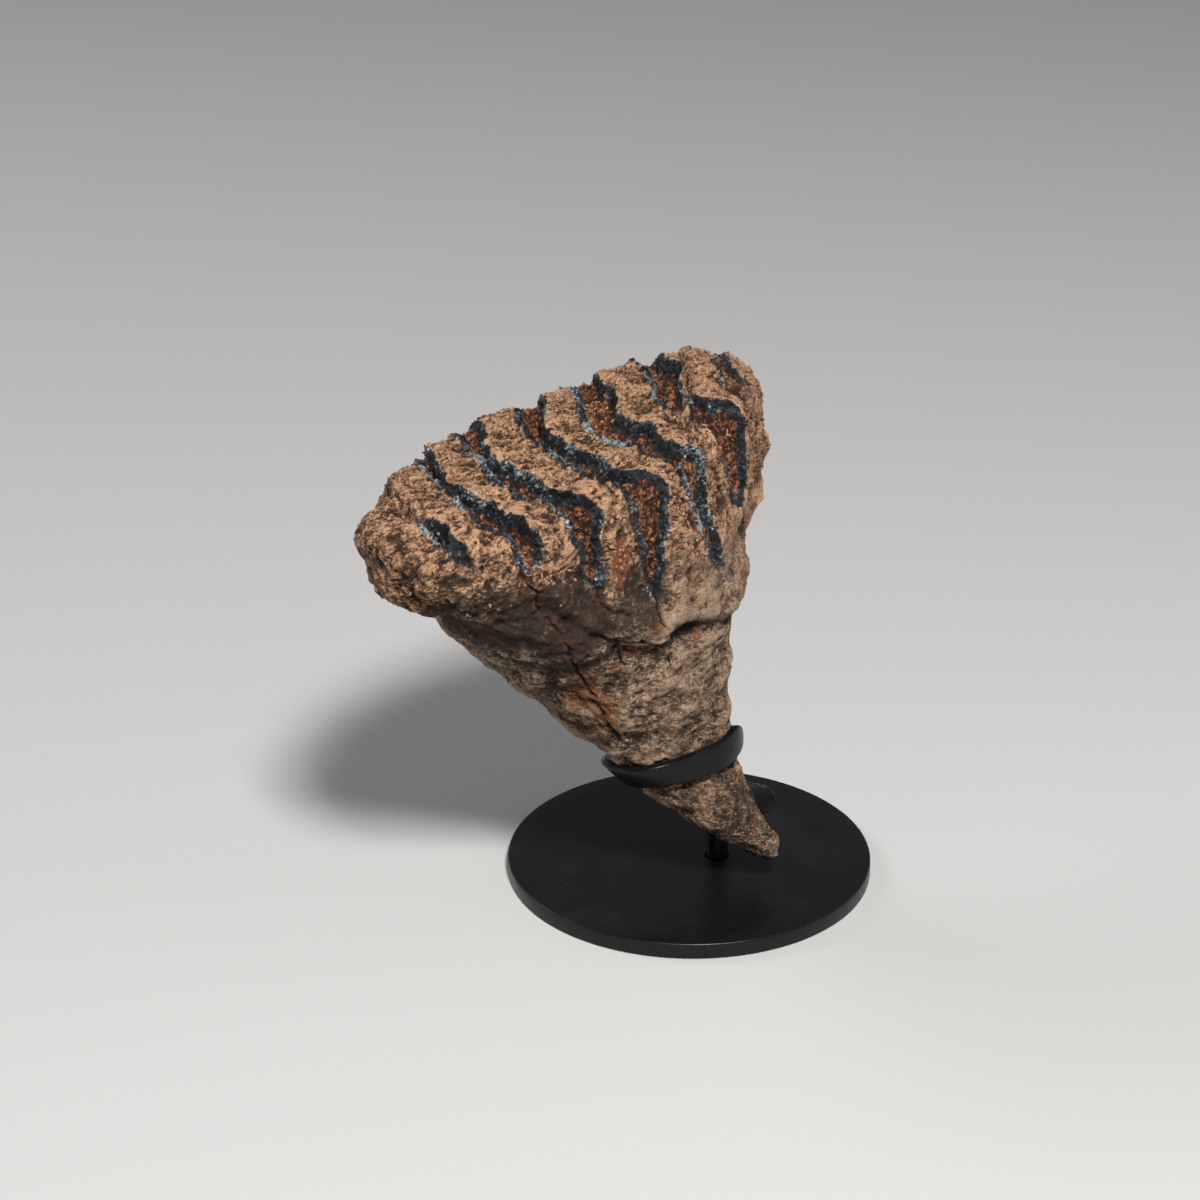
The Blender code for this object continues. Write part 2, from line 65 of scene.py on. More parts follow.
def bumps(points, size, start=0.0, stretch=(1, 1, 1)):
    # one octave of noise, its bumps about "size" mm across
    p = points.reshape(-1, 3) / (size * np.array(stretch)) + start
    return np.array([noise.noise(v) for v in p.tolist()]).reshape(points.shape[:-1])


def crumbs(points, size, start=0.0):
    # 0 at the middle of each crumb, about 1 at its edge
    p = points.reshape(-1, 3) / size + start
    near = [noise.voronoi(v)[0] for v in p.tolist()]
    return np.array([a / (b + 1e-6) for a, b, *_ in near]).reshape(points.shape[:-1])


# The tooth. Lengths are in mm, heights are over the table, -Y is the near side.
tooth = {
    # slices seen from the near side: keel x, keel z, top x, top z
    "slices": (
        (-71.4, 80.5, -71.4, 85.5), (-70.4, 77.3, -70.7, 87.2), (-67.6, 75.0, -68.2, 88.0),
        (-60.5, 71.0, -61.5, 89.0), (-50.5, 61.5, -52.5, 90.6), (-40.5, 51.0, -44.0, 91.8),
        (-31.0, 41.5, -36.0, 93.0), (-22.5, 32.5, -28.5, 93.6), (-15.0, 23.5, -22.0, 94.2),
        (-7.5, 17.0, -17.0, 94.7), (-1.5, 12.0, -12.5, 95.2), (3.6, 8.2, -8.5, 95.8),
        (6.6, 11.5, -4.5, 96.2), (3.8, 20.0, 0.0, 96.4), (3.4, 30.0, 4.5, 96.6),
        (3.5, 40.0, 9.0, 96.5), (4.6, 52.0, 14.0, 96.2), (10.5, 63.5, 18.5, 95.6),
        (21.2, 71.5, 23.0, 93.6), (27.0, 78.0, 27.0, 84.0)),
    "nearEdge": ((-71.4, -2), (-70.7, -7), (-68.2, -11), (-62, -14.5), (-55, -16.5), (-45, -17.5),
                 (-30, -17.5), (-20, -17), (-12, -15.5), (-4, -12), (4, -7), (12, -1), (19, 5),
                 (24, 10.0), (27, 15)),
    "farEdge": ((-71.4, 3), (-70.7, 6), (-68.2, 9.5), (-62.5, 13.5), (-55, 18.8), (-45, 22.5),
                (-30, 24), (-10, 24.5), (4, 24.5), (14, 24), (20, 22.5), (24, 20.5), (27, 17.5)),
    # root below the crown: height, y of its middle, half thickness
    "root": ((8, -16.5, 3.4), (12, -15.3, 5.0), (18, -12.0, 6.4), (23, -9.0, 7.2), (28, -6.0, 8.0),
             (40, -2.5, 11.5), (50, -0.5, 14.5), (60, 1.5, 17.5), (70, 3.0, 19.5)),
    "rootSquareness": 2.4,
    "crownBase": 58.0, "crownFull": 68.0, "topCrown": 1.5, "shoulder": 4.0,
    "keelRounding": ((0, 15), (3, 17), (6, 14), (9, 9), (11, 6), (13, 8), (16, 8), (19, 5)),
    # x of each enamel wall at nine even places from the near shoulder to the far one, how far
    # the plate stands open there, the height of its foot near and far, and its lean
    "plates": (
        {"left": (-62, -63, -63.5, -63.6, -63.2, -62.3, -61, -59.5, -58),
         "right": (-61, -62, -62.5, -62.7, -62.2, -61.3, -59.9, -58.4, -56.9),
         "open": (0.42, 0.52, 0.42, 0.26, 0.05, 0, 0, 0, 0), "foot": (82, 90), "lean": 0.0},
        {"left": (-54, -55.2, -55.3, -54.8, -54, -53.6, -51.8, -49.3, -46.8),
         "right": (-49, -51, -52, -52.6, -52.8, -51.5, -49, -46.3, -44),
         "open": (1, 1, 1, 0.8, 0.5, 0.9, 1, 1, 1), "foot": (82, 74), "lean": 0.0},
        {"left": (-42, -44.4, -45.3, -46, -44.8, -42.8, -40.9, -38.9, -36.8),
         "right": (-36, -41.4, -41.8, -41.9, -42, -40.6, -37, -34.5, -32.5),
         "open": (1, 1, 1, 1, 1, 1, 1, 1, 1), "foot": (74, 68), "lean": 0.0},
        {"left": (-28.5, -34, -33.8, -33.5, -32.8, -31.5, -28.7, -25.8, -23),
         "right": (-21.5, -29.9, -28.9, -30.4, -30.7, -28.5, -23.2, -19.7, -17.3),
         "open": (1, 1, 1, 1, 1, 1, 1, 1, 1), "foot": (68, 66), "lean": 0.0},
        {"left": (-17, -21, -20.5, -22.8, -22.2, -19, -15.8, -13.3, -11.5),
         "right": (-12.5, -16.2, -14.5, -17.3, -14.5, -10.9, -9.8, -7.5, -3.8),
         "open": (1, 1, 1, 1, 1, 1, 1, 1, 1), "foot": (68, 66), "lean": 0.3},
        {"left": (-10, -9.8, -7.5, -7.5, -4.8, -1.8, 1, 2.5, 4),
         "right": (-8.8, -8.6, -5, -1, 3.9, 4.2, 6, 8.2, 10.5),
         "open": (0, 0, 0.2, 0.9, 1, 1, 1, 1, 1), "foot": (90, 68), "lean": 0.42},
        {"left": (-6.5, -7, -2.8, 1.5, 5.5, 8, 10, 11.5, 13),
         "right": (4.5, 0, -1.5, 3, 7, 9.5, 11.5, 13, 14.5),
         "open": (1, 1, 0.3, 0, 0, 0, 0, 0, 0), "foot": (68, 90), "lean": 0.5},
        {"left": (8, 7.8, 10.5, 13, 15, 17, 18.5, 19.5, 20),
         "right": (13, 13.5, 15.5, 17.5, 19, 20.5, 21.5, 22.3, 22.5),
         "open": (0.2, 0.4, 0.5, 0.5, 0.7, 0.8, 0.5, 0.2, 0), "foot": (80, 90), "lean": 0.5}),
    "firstPlate": -0.75, "lastPlate": 7.65,
    "leanDepth": 24.0, "footWidth": 0.15, "footFade": 25.0, "plateTop": 90.0,
    # heights over the smooth body: cement from one plate to the next, dentine across a plate
    "cementRise": ((0, 1.5), (0.05, 1.7), (0.13, 1.55), (0.25, 1.15), (0.39, 0.6), (0.46, 0.3),
                   (0.5, 0.15)),
    "dentineRise": ((-0.25, 0.1), (-0.2, -0.35), (-0.1, -0.75), (0, -0.9), (0.12, -0.95),
                    (0.2, -0.9), (0.25, -0.6)),
    # the step from cement down to dentine over each enamel wall, in mm from the wall's line
    "leftStep": (0.0, 0.9), "rightStep": (-0.2, 1.0), "leftCrest": 0.85, "rightCrest": 0.4,
    "sideRidges": 0.45, "sideTroughs": 0.8, "farEdgeFade": 0.55,
    "crownLip": ((-50, 78), (-44, 74), (-37, 68), (-29, 63), (-23, 61), (-13, 62), (-4, 60),
                 (8, 58)),
    "lip": 1.3,
    # hollows and lumps: x, z, side (-1 near, 1 far, 0 both), radius x, radius z, height
    "spots": ((-43, 70, -1, 8, 6, -1.6), (-69, 80, 0, 5, 6, -1.2), (-60, 70, 0, 4, 3, -1.2),
              (-56, 82, -1, 7, 6, 1.0), (-14.5, 61, -1, 2.2, 1.6, -1.4), (-20, 66, -1, 5, 4, 0.9),
              (-7, 65, -1, 5, 4, 0.8), (-33, 55, -1, 6, 6, -0.9), (-20, 48, -1, 7, 8, 0.8),
              (-5, 40, -1, 6, 8, 0.5), (-45, 70, 1, 7, 8, -1.2), (-25, 62, 1, 8, 6, 1.0),
              (-5, 55, 1, 7, 9, -1.0), (-15, 40, 1, 6, 8, 0.8), (23, 89, -1, 4, 3, 0.9),
              (24, 77, -1, 5, 4, 1.0), (18, 70.5, -1, 6, 4.5, 2.6)),
    "lumpSize": 9.0, "lumpHeight": 0.9, "lumpStart": (3.7, 1.9, 5.3),
    "topEnd": 0.3, "shoulderEnd": 0.4, "shoulderShare": 0.8,
    # mesh steps: columns over half the top, the shoulder and down the side, near and far
    "nearColumns": (52, 14, 134), "farColumns": (46, 10, 92),
    "wallRows": (0.0, 0.28, 0.6, 1.05),  # mm from an enamel wall's middle line
    "innerRows": {"first": 16, "cement": 12, "dentine": 5, "last": 14},
    "wander": ((3.4, 0.6), (1.3, 0.24)),  # how far the walls stray sideways: size, mm
    # cracks down the near side: x, z
    "cracks": (((-52.5, 85.8), (-52.5, 83.4), (-51.9, 81.1), (-50.1, 79.1), (-48.6, 76.1),
                (-46.9, 72.9), (-44.9, 70.3), (-43.1, 68.3), (-41.4, 64.6), (-37.9, 59.4),
                (-35.1, 54.5), (-30.5, 47.3), (-25.5, 39.1)),
               ((-37.3, 78), (-35.8, 74.6), (-34.9, 71.6), (-32.5, 70), (-29.9, 69.1)),
               ((-23, 73.8), (-23, 69.7), (-22.8, 65.4)),
               ((-31.8, 65.1), (-30, 61.3), (-28.3, 57.2)),
               ((-36.5, 65.7), (-28.5, 63), (-22.1, 61.4), (-17.5, 61.5)),
               ((-17.8, 57.5), (-18.1, 56), (-18.5, 54.3))),
    # dark stains on the near side, with painted shade in its hollows and under the crown's lip: x,
    # z, radius x, radius z, strength
    "stainsAndShade": ((-47, 77, 6, 4.5, 1.0), (-39.5, 77, 4.5, 3.5, 0.9), (-36.5, 78, 3, 2.5, 0.9),
               (-62.4, 82.8, 1.6, 1.2, 1.0), (-44.2, 71, 7, 5, 0.85), (-45.7, 68, 3, 3, 0.9),
               (-42, 61, 4, 4, 0.9), (-36.8, 59, 4, 3, 0.9), (-14.3, 61.7, 3, 1.4, 1.0),
               (-32, 43, 3, 2.5, 0.9), (-50.6, 72.3, 14, 9, 0.85), (-57, 76, 11, 7, 0.75),
               (-50, 66, 10, 6, 0.7), (-40, 68, 13, 10, 0.9), (-28, 74, 6, 5, 0.7),
               (-29, 69, 8, 6, 0.75), (-38, 56, 8, 6, 0.55)),
    "rusts": ((-31, 78.5, 3, 5, 0.9), (-26, 59.7, 1.8, 1.4, 1.0), (-34.7, 53, 3.5, 6, 0.8),
              (-30, 47, 3, 6, 0.7), (-40, 64, 3, 5, 0.8), (-12, 59, 2, 1.5, 0.7),
              (-54, 68, 3, 3, 0.5), (-10.5, 44, 2, 3, 0.5), (-24, 66, 2, 4, 0.6)),
    "crackWidth": 0.5, "crackDepth": 0.7, "crackStray": 0.8,
}
lastSlice = len(tooth["slices"]) - 1
sliceTable = np.array(tooth["slices"])
plateCount = len(tooth["plates"])


def sliceValue(column, s):
    return through(np.stack([np.arange(lastSlice + 1), sliceTable[:, column]], 1), s)


def sliceAt(topX):
    return np.interp(topX, sliceTable[:, 2], np.arange(lastSlice + 1))


def rootOutline(z):
    keel = [(row[1], row[0]) for row in tooth["slices"]]
    tip = keel.index(min(keel))
    return through(keel[tip::-1], z), through(keel[tip:], z)


def placeAcross(turn):
    a = np.abs(turn)
    corner = np.clip((a - tooth["topEnd"]) / (tooth["shoulderEnd"] - tooth["topEnd"]), 0, 1)
    flat = np.clip(a / tooth["topEnd"], 0, 1) * tooth["shoulderShare"]
    return np.sign(turn) * (flat + (1 - tooth["shoulderShare"]) * np.sin(corner * math.pi / 2))


def readAcross(values, across):
    return through(list(zip(np.linspace(-1, 1, len(values)), values)), across)


def wallSlices(number, side, turn):
    # the slices that one enamel wall passes through on its way round the tooth
    plate = tooth["plates"][number]
    across = placeAcross(turn)
    left, right = (readAcross(plate[name], across) for name in ("left", "right"))
    down = np.clip((np.abs(turn) - tooth["shoulderEnd"]) / (1 - tooth["shoulderEnd"]), 0, 1)
    s = sliceAt((left + right) / 2)
    depth = tooth["shoulder"] + down * (sliceValue(3, s) - sliceValue(1, s) - tooth["shoulder"])
    foot = np.where(turn < 0, *plate["foot"])
    lean = plate["lean"] * np.clip(depth - tooth["shoulder"], 0, tooth["leanDepth"])
    height = sliceValue(3, s) - depth
    narrow = np.clip((height - foot) / (tooth["plateTop"] - foot + 0.01), 0, 1) ** 0.7
    narrow = np.maximum(narrow, ramp(0, tooth["footFade"], foot - height))
    narrow = np.where(down > 0, tooth["footWidth"] + (1 - tooth["footWidth"]) * narrow, 1)
    x = (left + right) / 2 + np.where(turn < 0, lean, 0)
    s = sliceAt(x + side * (right - left) / 2 * narrow)
    share = (number + side / 4 - tooth["firstPlate"]) / (tooth["lastPlate"] - tooth["firstPlate"])
    return s + (share * lastSlice - s) * ramp(0.3, 1, down)


def levelSection(x, z, edge):
    # middle and half thickness of the level cut at x and z
    near, far = through(tooth["nearEdge"], x), through(tooth["farEdge"], x)
    crown = ramp(tooth["crownBase"], tooth["crownFull"], z)
    root = np.array(tooth["root"])
    rootMiddle, rootHalf = (through(root[:, [0, c]], z) for c in (1, 2))
    left, right = rootOutline(z)
    place = np.abs(x - (left + right) / 2) / np.maximum((right - left) / 2, 0.01)
    power = tooth["rootSquareness"]
    oval = (1 - np.clip(place, 0, 1) ** power) ** (1 / power)
    rounded = np.sqrt(np.clip(1 - (1 - edge) ** 2, 0, 1))
    middle = rootMiddle * (1 - crown) + (near + far) / 2 * crown
    half = rootHalf * (1 - crown) + (far - near) / 2 * crown
    return middle, half * (oval * (1 - crown) + rounded * crown)


def bodySurface(s, turn):
    # the smooth body, turn 0 along the top and -1 or 1 along the keel
    a = np.abs(turn)
    topEnd, shoulderEnd = tooth["topEnd"], tooth["shoulderEnd"]
    keelX, keelZ, topX, topZ = (sliceValue(c, s) for c in range(4))
    length = np.hypot(topX - keelX, topZ - keelZ)
    halfTop = (through(tooth["farEdge"], topX) - through(tooth["nearEdge"], topX)) / 2
    shoulder = np.minimum(tooth["shoulder"], 0.6 * halfTop)
    onTop = np.clip(a / topEnd, 0, 1)
    corner = np.clip((a - topEnd) / (shoulderEnd - topEnd), 0, 1) * math.pi / 2
    down = np.clip((a - shoulderEnd) / (1 - shoulderEnd), 0, 1)
    drop = shoulder * (1 - np.cos(corner)) + down * np.maximum(length - shoulder, 0)
    h = np.clip(1 - drop / np.maximum(length, 0.01), 0, 1)
    x = keelX + (topX - keelX) * h
    z = keelZ + (topZ - keelZ) * h
    rounding = np.minimum(through(tooth["keelRounding"], s), 0.75 * length + 0.01)
    middle, half = levelSection(x, z, np.clip(h * length / rounding, 0, 1))
    reach = np.where(a < topEnd, onTop * (half - shoulder), half - shoulder * (1 - np.sin(corner)))
    z = z + tooth["topCrown"] * (1 - onTop ** 2) * np.clip(halfTop / 15, 0, 1)
    return np.stack([x, middle + np.sign(turn) * np.maximum(reach, 0), z], -1)


def loopSteps():
    halves = []
    for top, corner, side in (tooth["nearColumns"], tooth["farColumns"]):
        u = np.linspace(0, 1, side + 1)[1:]
        halves.append(np.concatenate([
            np.linspace(0, tooth["topEnd"], top + 1),
            np.linspace(tooth["topEnd"], tooth["shoulderEnd"], corner + 1)[1:],
            tooth["shoulderEnd"] + (1 - tooth["shoulderEnd"]) * (1 - (1 - u) ** 1.35)]))
    return np.concatenate([-halves[0][:0:-1], halves[1][:-1]])


def sliceLength(s, turn):
    low, high = np.clip(s - 0.03, 0, lastSlice), np.clip(s + 0.03, 0, lastSlice)
    step = bodySurface(high, turn) - bodySurface(low, turn)
    return np.linalg.norm(step, axis=-1) / (high - low)


def wallLines(turn):
    # slice numbers and plate numbers of every enamel wall, with the two ends of the tooth
    lines, knots = [np.zeros(turn.shape)], [tooth["firstPlate"]]
    calm = ramp(1, 0.8, np.abs(turn))
    for number in range(plateCount):
        for side in (-1, 1):
            line = wallSlices(number, side, turn)
            points = bodySurface(line, turn)
            for size, reach in tooth["wander"]:
                line = line + bumps(points, size, number * 9 + side) * reach * 2 * calm \
                    / sliceLength(line, turn)
            lines.append(line)
            knots.append(number + side / 4)
    lines.append(np.full(turn.shape, float(lastSlice)))
    knots.append(tooth["lastPlate"])
    for i in range(1, len(lines) - 1):
        lines[i] = np.clip(lines[i], lines[i - 1] + 0.015, lastSlice - 0.02 * (len(lines) - i))
    return lines, knots


def toothRows(turn):
    # each row's slices, plate number and mm from the nearest wall, above zero on dentine
    lines, knots = wallLines(turn)
    scale = [sliceLength(line, turn) for line in lines]
    rows, plates, distances = [], [], []
    last = len(lines) - 2
    for i in range(last + 1):
        low, high = lines[i], lines[i + 1]
        gap = high - low
        dentine = i % 2 == 1
        kind = "first" if i == 0 else "last" if i == last else "dentine" if dentine else "cement"
        before = [low + np.minimum(d / scale[i], 0.42 * gap * d / tooth["wallRows"][-1])
                  for d in tooth["wallRows"]] if i > 0 else [low + 0.03 * gap]
        after = [high - np.minimum(d / scale[i + 1], 0.42 * gap * d / tooth["wallRows"][-1])
                 for d in tooth["wallRows"][:0:-1]] if i < last else [high - 0.03 * gap]
        inner = np.linspace(0, 1, tooth["innerRows"][kind] + 2)[1:-1, None]
        inner = list(before[-1] + (after[0] - before[-1]) * inner)
        for s in before + inner + after:
            fromLow = (s - low) * scale[i] if i > 0 else np.full(s.shape, 99.0)
            fromHigh = (high - s) * scale[i + 1] if i < last else np.full(s.shape, 99.0)
            rows.append(s)
            plates.append(knots[i] + (s - low) / gap * (knots[i + 1] - knots[i]))
            distances.append(np.minimum(fromLow, fromHigh) * (1 if dentine else -1))
    return np.array(rows), np.array(plates), np.array(distances)


def plateOpening(number, turn, z):
    opening = np.zeros(number.shape)
    across = placeAcross(turn)
    for k, plate in enumerate(tooth["plates"]):
        side = ramp(-1, 7, z - np.where(turn < 0, *plate["foot"]))
        opening = np.where(number == k, readAcross(plate["open"], across) * side, opening)
    return opening


def plateRelief(points, plate, distance, turn, opening):
    z = points[..., 2]
    number = np.clip(np.rint(plate), 0, plateCount - 1)
    phase = np.clip(plate - number, -0.5, 0.5)
    cement = through(tooth["cementRise"], np.where(phase < 0, phase + 0.75, phase - 0.25))
    dentine = through(tooth["dentineRise"], phase)
    dentineEdge = [tooth["dentineRise"][i][1] for i in (0, -1)]
    down = ramp(tooth["topEnd"], tooth["shoulderEnd"] + 0.05, np.abs(turn))
    edge = 1 - tooth["farEdgeFade"] * ramp(0.6, 1, placeAcross(turn))
    ends = ramp(tooth["firstPlate"], 0.3, plate - down * 1.2) * ramp(tooth["lastPlate"], 7, plate)
    ridges = ramp(60, 80, z) * (1 - (1 - tooth["sideRidges"]) * down) * ends
    troughs = opening * (1 - (1 - tooth["sideTroughs"]) * down)
    edges = (-0.25, tooth["cementRise"][-1][1]), (0.25, tooth["cementRise"][0][1])
    cement = np.where(distance < 0, cement, through(edges, phase)) * ridges
    dentine = np.where(distance > 0, dentine, np.where(phase < 0, dentineEdge[0], dentineEdge[1]))
    ragged = distance + 0.45 * bumps(points, 2.1, 4.4) + 0.3 * bumps(points, 0.9, 8.1)
    share = np.where(phase < 0, ramp(*tooth["leftStep"], ragged), ramp(*tooth["rightStep"], ragged))
    height = cement + (dentine * troughs - cement) * share * ramp(0, 0.35, opening)
    crest = np.where(phase < 0, tooth["leftCrest"], tooth["rightCrest"]) \
        * ramp(-1.15, -0.6, ragged) * ramp(0.8, 0.1, ragged)
    crest = crest * (0.4 + 0.6 * ramp(-0.25, 0.25, bumps(points, 2.6, 12.3))) * opening * ridges
    return (height + crest) * edge


def bodySpots(points, turn):
    x, z = points[..., 0], points[..., 2]
    height = np.zeros(x.shape)
    onSide = ramp(tooth["topEnd"], tooth["shoulderEnd"], np.abs(turn))
    for spotX, spotZ, side, radiusX, radiusZ, rise in tooth["spots"]:
        near = ((x - spotX) / radiusX) ** 2 + ((z - spotZ) / radiusZ) ** 2
        here = 1 if side == 0 else (np.sign(turn) == side)
        height += rise * np.exp(-near) * here * onSide
    above = z - through(tooth["crownLip"], x)
    lip = tooth["lip"] * (ramp(-1.5, 1.5, above) - ramp(1.5, 12, above))
    crease = -0.6 * tooth["lip"] * np.exp(-((above + 1.9) / 1.3) ** 2)
    return height + (lip + crease) * ramp(-52, -42, x) * ramp(8, -3, x) * (turn < 0) * onSide


def crackDistance(points, turn):
    # mm from the nearest crack, on the near side
    stray = np.stack([bumps(points, 1.5, 3.3), bumps(points, 1.5, 6.1)], -1)
    place = points[..., [0, 2]] + tooth["crackStray"] * stray
    nearest = np.full(points.shape[:-1], 9.0)
    for crack in tooth["cracks"]:
        for a, b in zip(np.array(crack)[:-1], np.array(crack)[1:]):
            along = np.clip(((place - a) @ (b - a)) / ((b - a) @ (b - a)), 0, 1)
            gap = np.linalg.norm(place - a - along[..., None] * (b - a), axis=-1)
            nearest = np.minimum(nearest, gap)
    return np.where(turn < -tooth["topEnd"], nearest, 9.0)


def torn(points, size, start, stretch=(1, 1, 1)):
    # noise with sharp crests and rounded hollows
    return 0.2 - np.abs(bumps(points, size, start, stretch))


def surfaceNoise(points, distance, opening, turn):
    # fine relief of each substance, in mm
    low = ramp(76, 62, points[..., 2])
    rough = 0.9 * bumps(points, 4.6, 3.1) + 0.5 * bumps(points, 2.6, 1.7)
    upper = 1.1 * torn(points, 2.0, 5.2, (1, 1, 1.7)) + 0.85 * torn(points, 1.05, 9.9, (1, 1, 2.2))
    lower = 0.9 * torn(points, 2.2, 7.7, (2.0, 1.6, 0.9))
    lower = lower + 0.9 * torn(points, 1.1, 2.2, (1.6, 1.4, 1))
    holes = ramp(0.4, 0.1, crumbs(points, 2.3, 0.6)) * ramp(-0.05, 0.25, bumps(points, 5.0, 3.0))
    cement = rough + upper + (lower - upper) * low - 0.7 * holes
    crumb = 1.0 * (0.45 - crumbs(points, 2.3, 4.0)) + 0.55 * (0.45 - crumbs(points, 1.1, 2.0))
    crumb = crumb + 0.7 * bumps(points, 1.6, 6.6)
    grains = 0.5 * (0.45 - crumbs(points, 1.1, 7.1)) + 0.35 * bumps(points, 0.9, 1.1)
    onDentine = ramp(0.7, 1.3, distance) * opening
    onWall = ramp(-0.5, -0.1, distance) * ramp(1.3, 0.9, distance) * opening
    height = cement + (crumb - cement) * onDentine
    return height + (grains - height) * onWall


def spotShare(points, turn, spots):
    # how much of some marks lies on the near side
    x, z = points[..., 0], points[..., 2]
    share = np.zeros(x.shape)
    for markX, markZ, radiusX, radiusZ, strength in spots:
        near = ((x - markX) / radiusX) ** 2 + ((z - markZ) / radiusZ) ** 2
        share = np.maximum(share, strength * np.exp(-near ** 1.5))
    return share * (turn < 0)


def blurred(values, rows, columns):
    # evened out along the tooth and round it
    for _ in range(rows):
        padded = np.pad(values, ((1, 1), (0, 0)), mode="edge")
        values = (padded[:-2] + 2 * values + padded[2:]) / 4
    for _ in range(columns):
        values = (np.roll(values, 1, 1) + 2 * values + np.roll(values, -1, 1)) / 4
    return values


def makeTooth():
    turn = loopSteps()
    s, plate, distance = toothRows(turn)
    turn = np.broadcast_to(turn, s.shape)
    points = bodySurface(s, turn)
    along = np.gradient(points, axis=0)
    around = np.roll(points, -1, axis=1) - np.roll(points, 1, axis=1)
    normal = np.cross(along, around)
    normal /= np.linalg.norm(normal, axis=-1, keepdims=True) + 1e-9
    number = np.clip(np.rint(plate), 0, plateCount - 1)
    opening = plateOpening(number, turn, points[..., 2])
    relief = plateRelief(points, plate, distance, turn, opening)
    lumps = bumps(points, tooth["lumpSize"], tooth["lumpStart"]) * tooth["lumpHeight"]
    form = relief + bodySpots(points, turn) + lumps
    crack = crackDistance(points, turn)
    height = form + surfaceNoise(points, distance, opening, turn)
    height = height - tooth["crackDepth"] * ramp(tooth["crackWidth"], 0.1, crack)
    # painted shade and light: the relief's height against its blurred height is low in hollows and
    # high on crests, and darkens hollows and lightens crests in the colours
    cavityShade = 1.3 * height - blurred(height, 8, 8) - 0.3 * blurred(height, 60, 50)
    steps = np.linalg.norm(np.diff(points, axis=1, prepend=points[:, :1]), axis=-1)
    middle = np.argmin(np.abs(turn[0]))
    across = np.cumsum(steps, 1) - np.cumsum(steps, 1)[:, middle:middle + 1]
    steps = np.linalg.norm(np.diff(points, axis=0), axis=-1)
    along = np.concatenate([np.zeros((1, turn.shape[1])), np.cumsum(steps, 0)])
    points = points + normal * height[..., None]
    values = {"wallDistance": distance, "opening": opening, "cavityShade": cavityShade, "crack": crack,
              "stainAndShade": spotShare(points, turn, tooth["stainsAndShade"]),
              "rust": spotShare(points, turn, tooth["rusts"]), "across": across, "along": along,
              "leftWall": (plate < number) * 1.0}
    inside = ramp(tooth["firstPlate"] + 0.3, 0, plate)
    values["chipShare"] = ramp(-1.1, -0.7, distance) * ramp(0.9, 0.5, distance) * opening \
        * ramp(-0.1, 0.25, bumps(points, 4.0, 2.5))
    values["crumbShare"] = ramp(0.8, 1.3, distance) * opening
    values["flakeShare"] = inside * ramp(72, 84, points[..., 2]) * ramp(-0.7, -1.2, distance) \
        * (0.15 + 0.85 * ramp(-0.05, 0.3, bumps(points, 6.0, 8.5)))
    return skinOfRows("fine_tooth", points, values)


def skinOfRows(name, rows, values):
    # closed skin over rows of points, with a pole at each end
    count, width = rows.shape[:2]
    poles = [rows[0].mean(0), rows[-1].mean(0)]
    verts = np.concatenate([rows.reshape(-1, 3), poles]) * mm
    index = np.arange(count * width).reshape(count, width)
    turned = np.roll(index, -1, axis=1)
    quads = np.stack([index[:-1], index[1:], turned[1:], turned[:-1]], -1).reshape(-1, 4)
    first = [(count * width, a, b) for a, b in zip(index[0], turned[0])]
    last = [(count * width + 1, b, a) for a, b in zip(index[-1], turned[-1])]
    mesh = bpy.data.meshes.new(name)
    mesh.from_pydata(verts.tolist(), [], quads.tolist() + first + last)
    for key, value in values.items():
        ends = [value[0].mean(), value[-1].mean()]
        mesh.attributes.new(key, "FLOAT", "POINT").data.foreach_set(
            "value", np.concatenate([value.ravel(), ends]).astype(np.float32))
    mesh.shade_smooth()
    mesh.update()
    piece = bpy.data.objects.new(name, mesh)
    scene.collection.objects.link(piece)
    return piece


# Shader helpers: a value can be a number, a colour or another node's output.
def addNode(tree, kind, inputs=(), **settings):
    node = tree.nodes.new(kind)
    for name, value in settings.items():
        setattr(node, name, value)
    for key, value in dict(inputs).items():
        if isinstance(value, bpy.types.NodeSocket):
            tree.links.new(value, node.inputs[key])
        else:
            node.inputs[key].default_value = value
    return node


def calc(tree, operation, a, b=0.0, clamp=False):
    return addNode(tree, "ShaderNodeMath", {0: a, 1: b}, operation=operation,
                   use_clamp=clamp).outputs[0]


def spread(tree, value, low, high, toLow=0.0, toHigh=1.0):
    # smooth map of a value's range, held at both ends
    node = addNode(tree, "ShaderNodeMapRange", {"Value": value, "From Min": low, "From Max": high,
                                                "To Min": toLow, "To Max": toHigh},
                   interpolation_type="SMOOTHSTEP")
    return node.outputs["Result"]


def blendColour(tree, factor, a, b, kind="MIX"):
    node = addNode(tree, "ShaderNodeMix", data_type="RGBA", blend_type=kind, clamp_factor=True)
    for socket, value in ((node.inputs[0], factor), (node.inputs[6], a), (node.inputs[7], b)):
        if isinstance(value, bpy.types.NodeSocket):
            tree.links.new(value, socket)
        else:
            socket.default_value = (*value, 1) if isinstance(value, tuple) else value
    return node.outputs[2]


def blendValue(tree, factor, a, b):
    return addNode(tree, "ShaderNodeMix", {0: factor, 2: a, 3: b}).outputs[0]


def noiseNode(tree, vector, size, detail=2.0, roughness=0.5, distortion=0.0):
    return addNode(tree, "ShaderNodeTexNoise", {"Vector": vector, "Scale": 1 / size,
                                                "Detail": detail, "Roughness": roughness,
                                                "Distortion": distortion}).outputs["Fac"]


def stretched(tree, vector, scale):
    return addNode(tree, "ShaderNodeVectorMath", {0: vector, 1: scale},
                   operation="MULTIPLY").outputs[0]


def vertexValue(tree, name):
    return addNode(tree, "ShaderNodeAttribute", attribute_name=name).outputs["Fac"]


def placeInMm(tree):
    place = addNode(tree, "ShaderNodeTexCoord").outputs["Object"]
    return stretched(tree, place, (1000, 1000, 1000))


def newMaterial(name):
    material = bpy.data.materials.new(name)
    material.use_nodes = True
    shader = material.node_tree.nodes["Principled BSDF"]
    return material, material.node_tree, shader


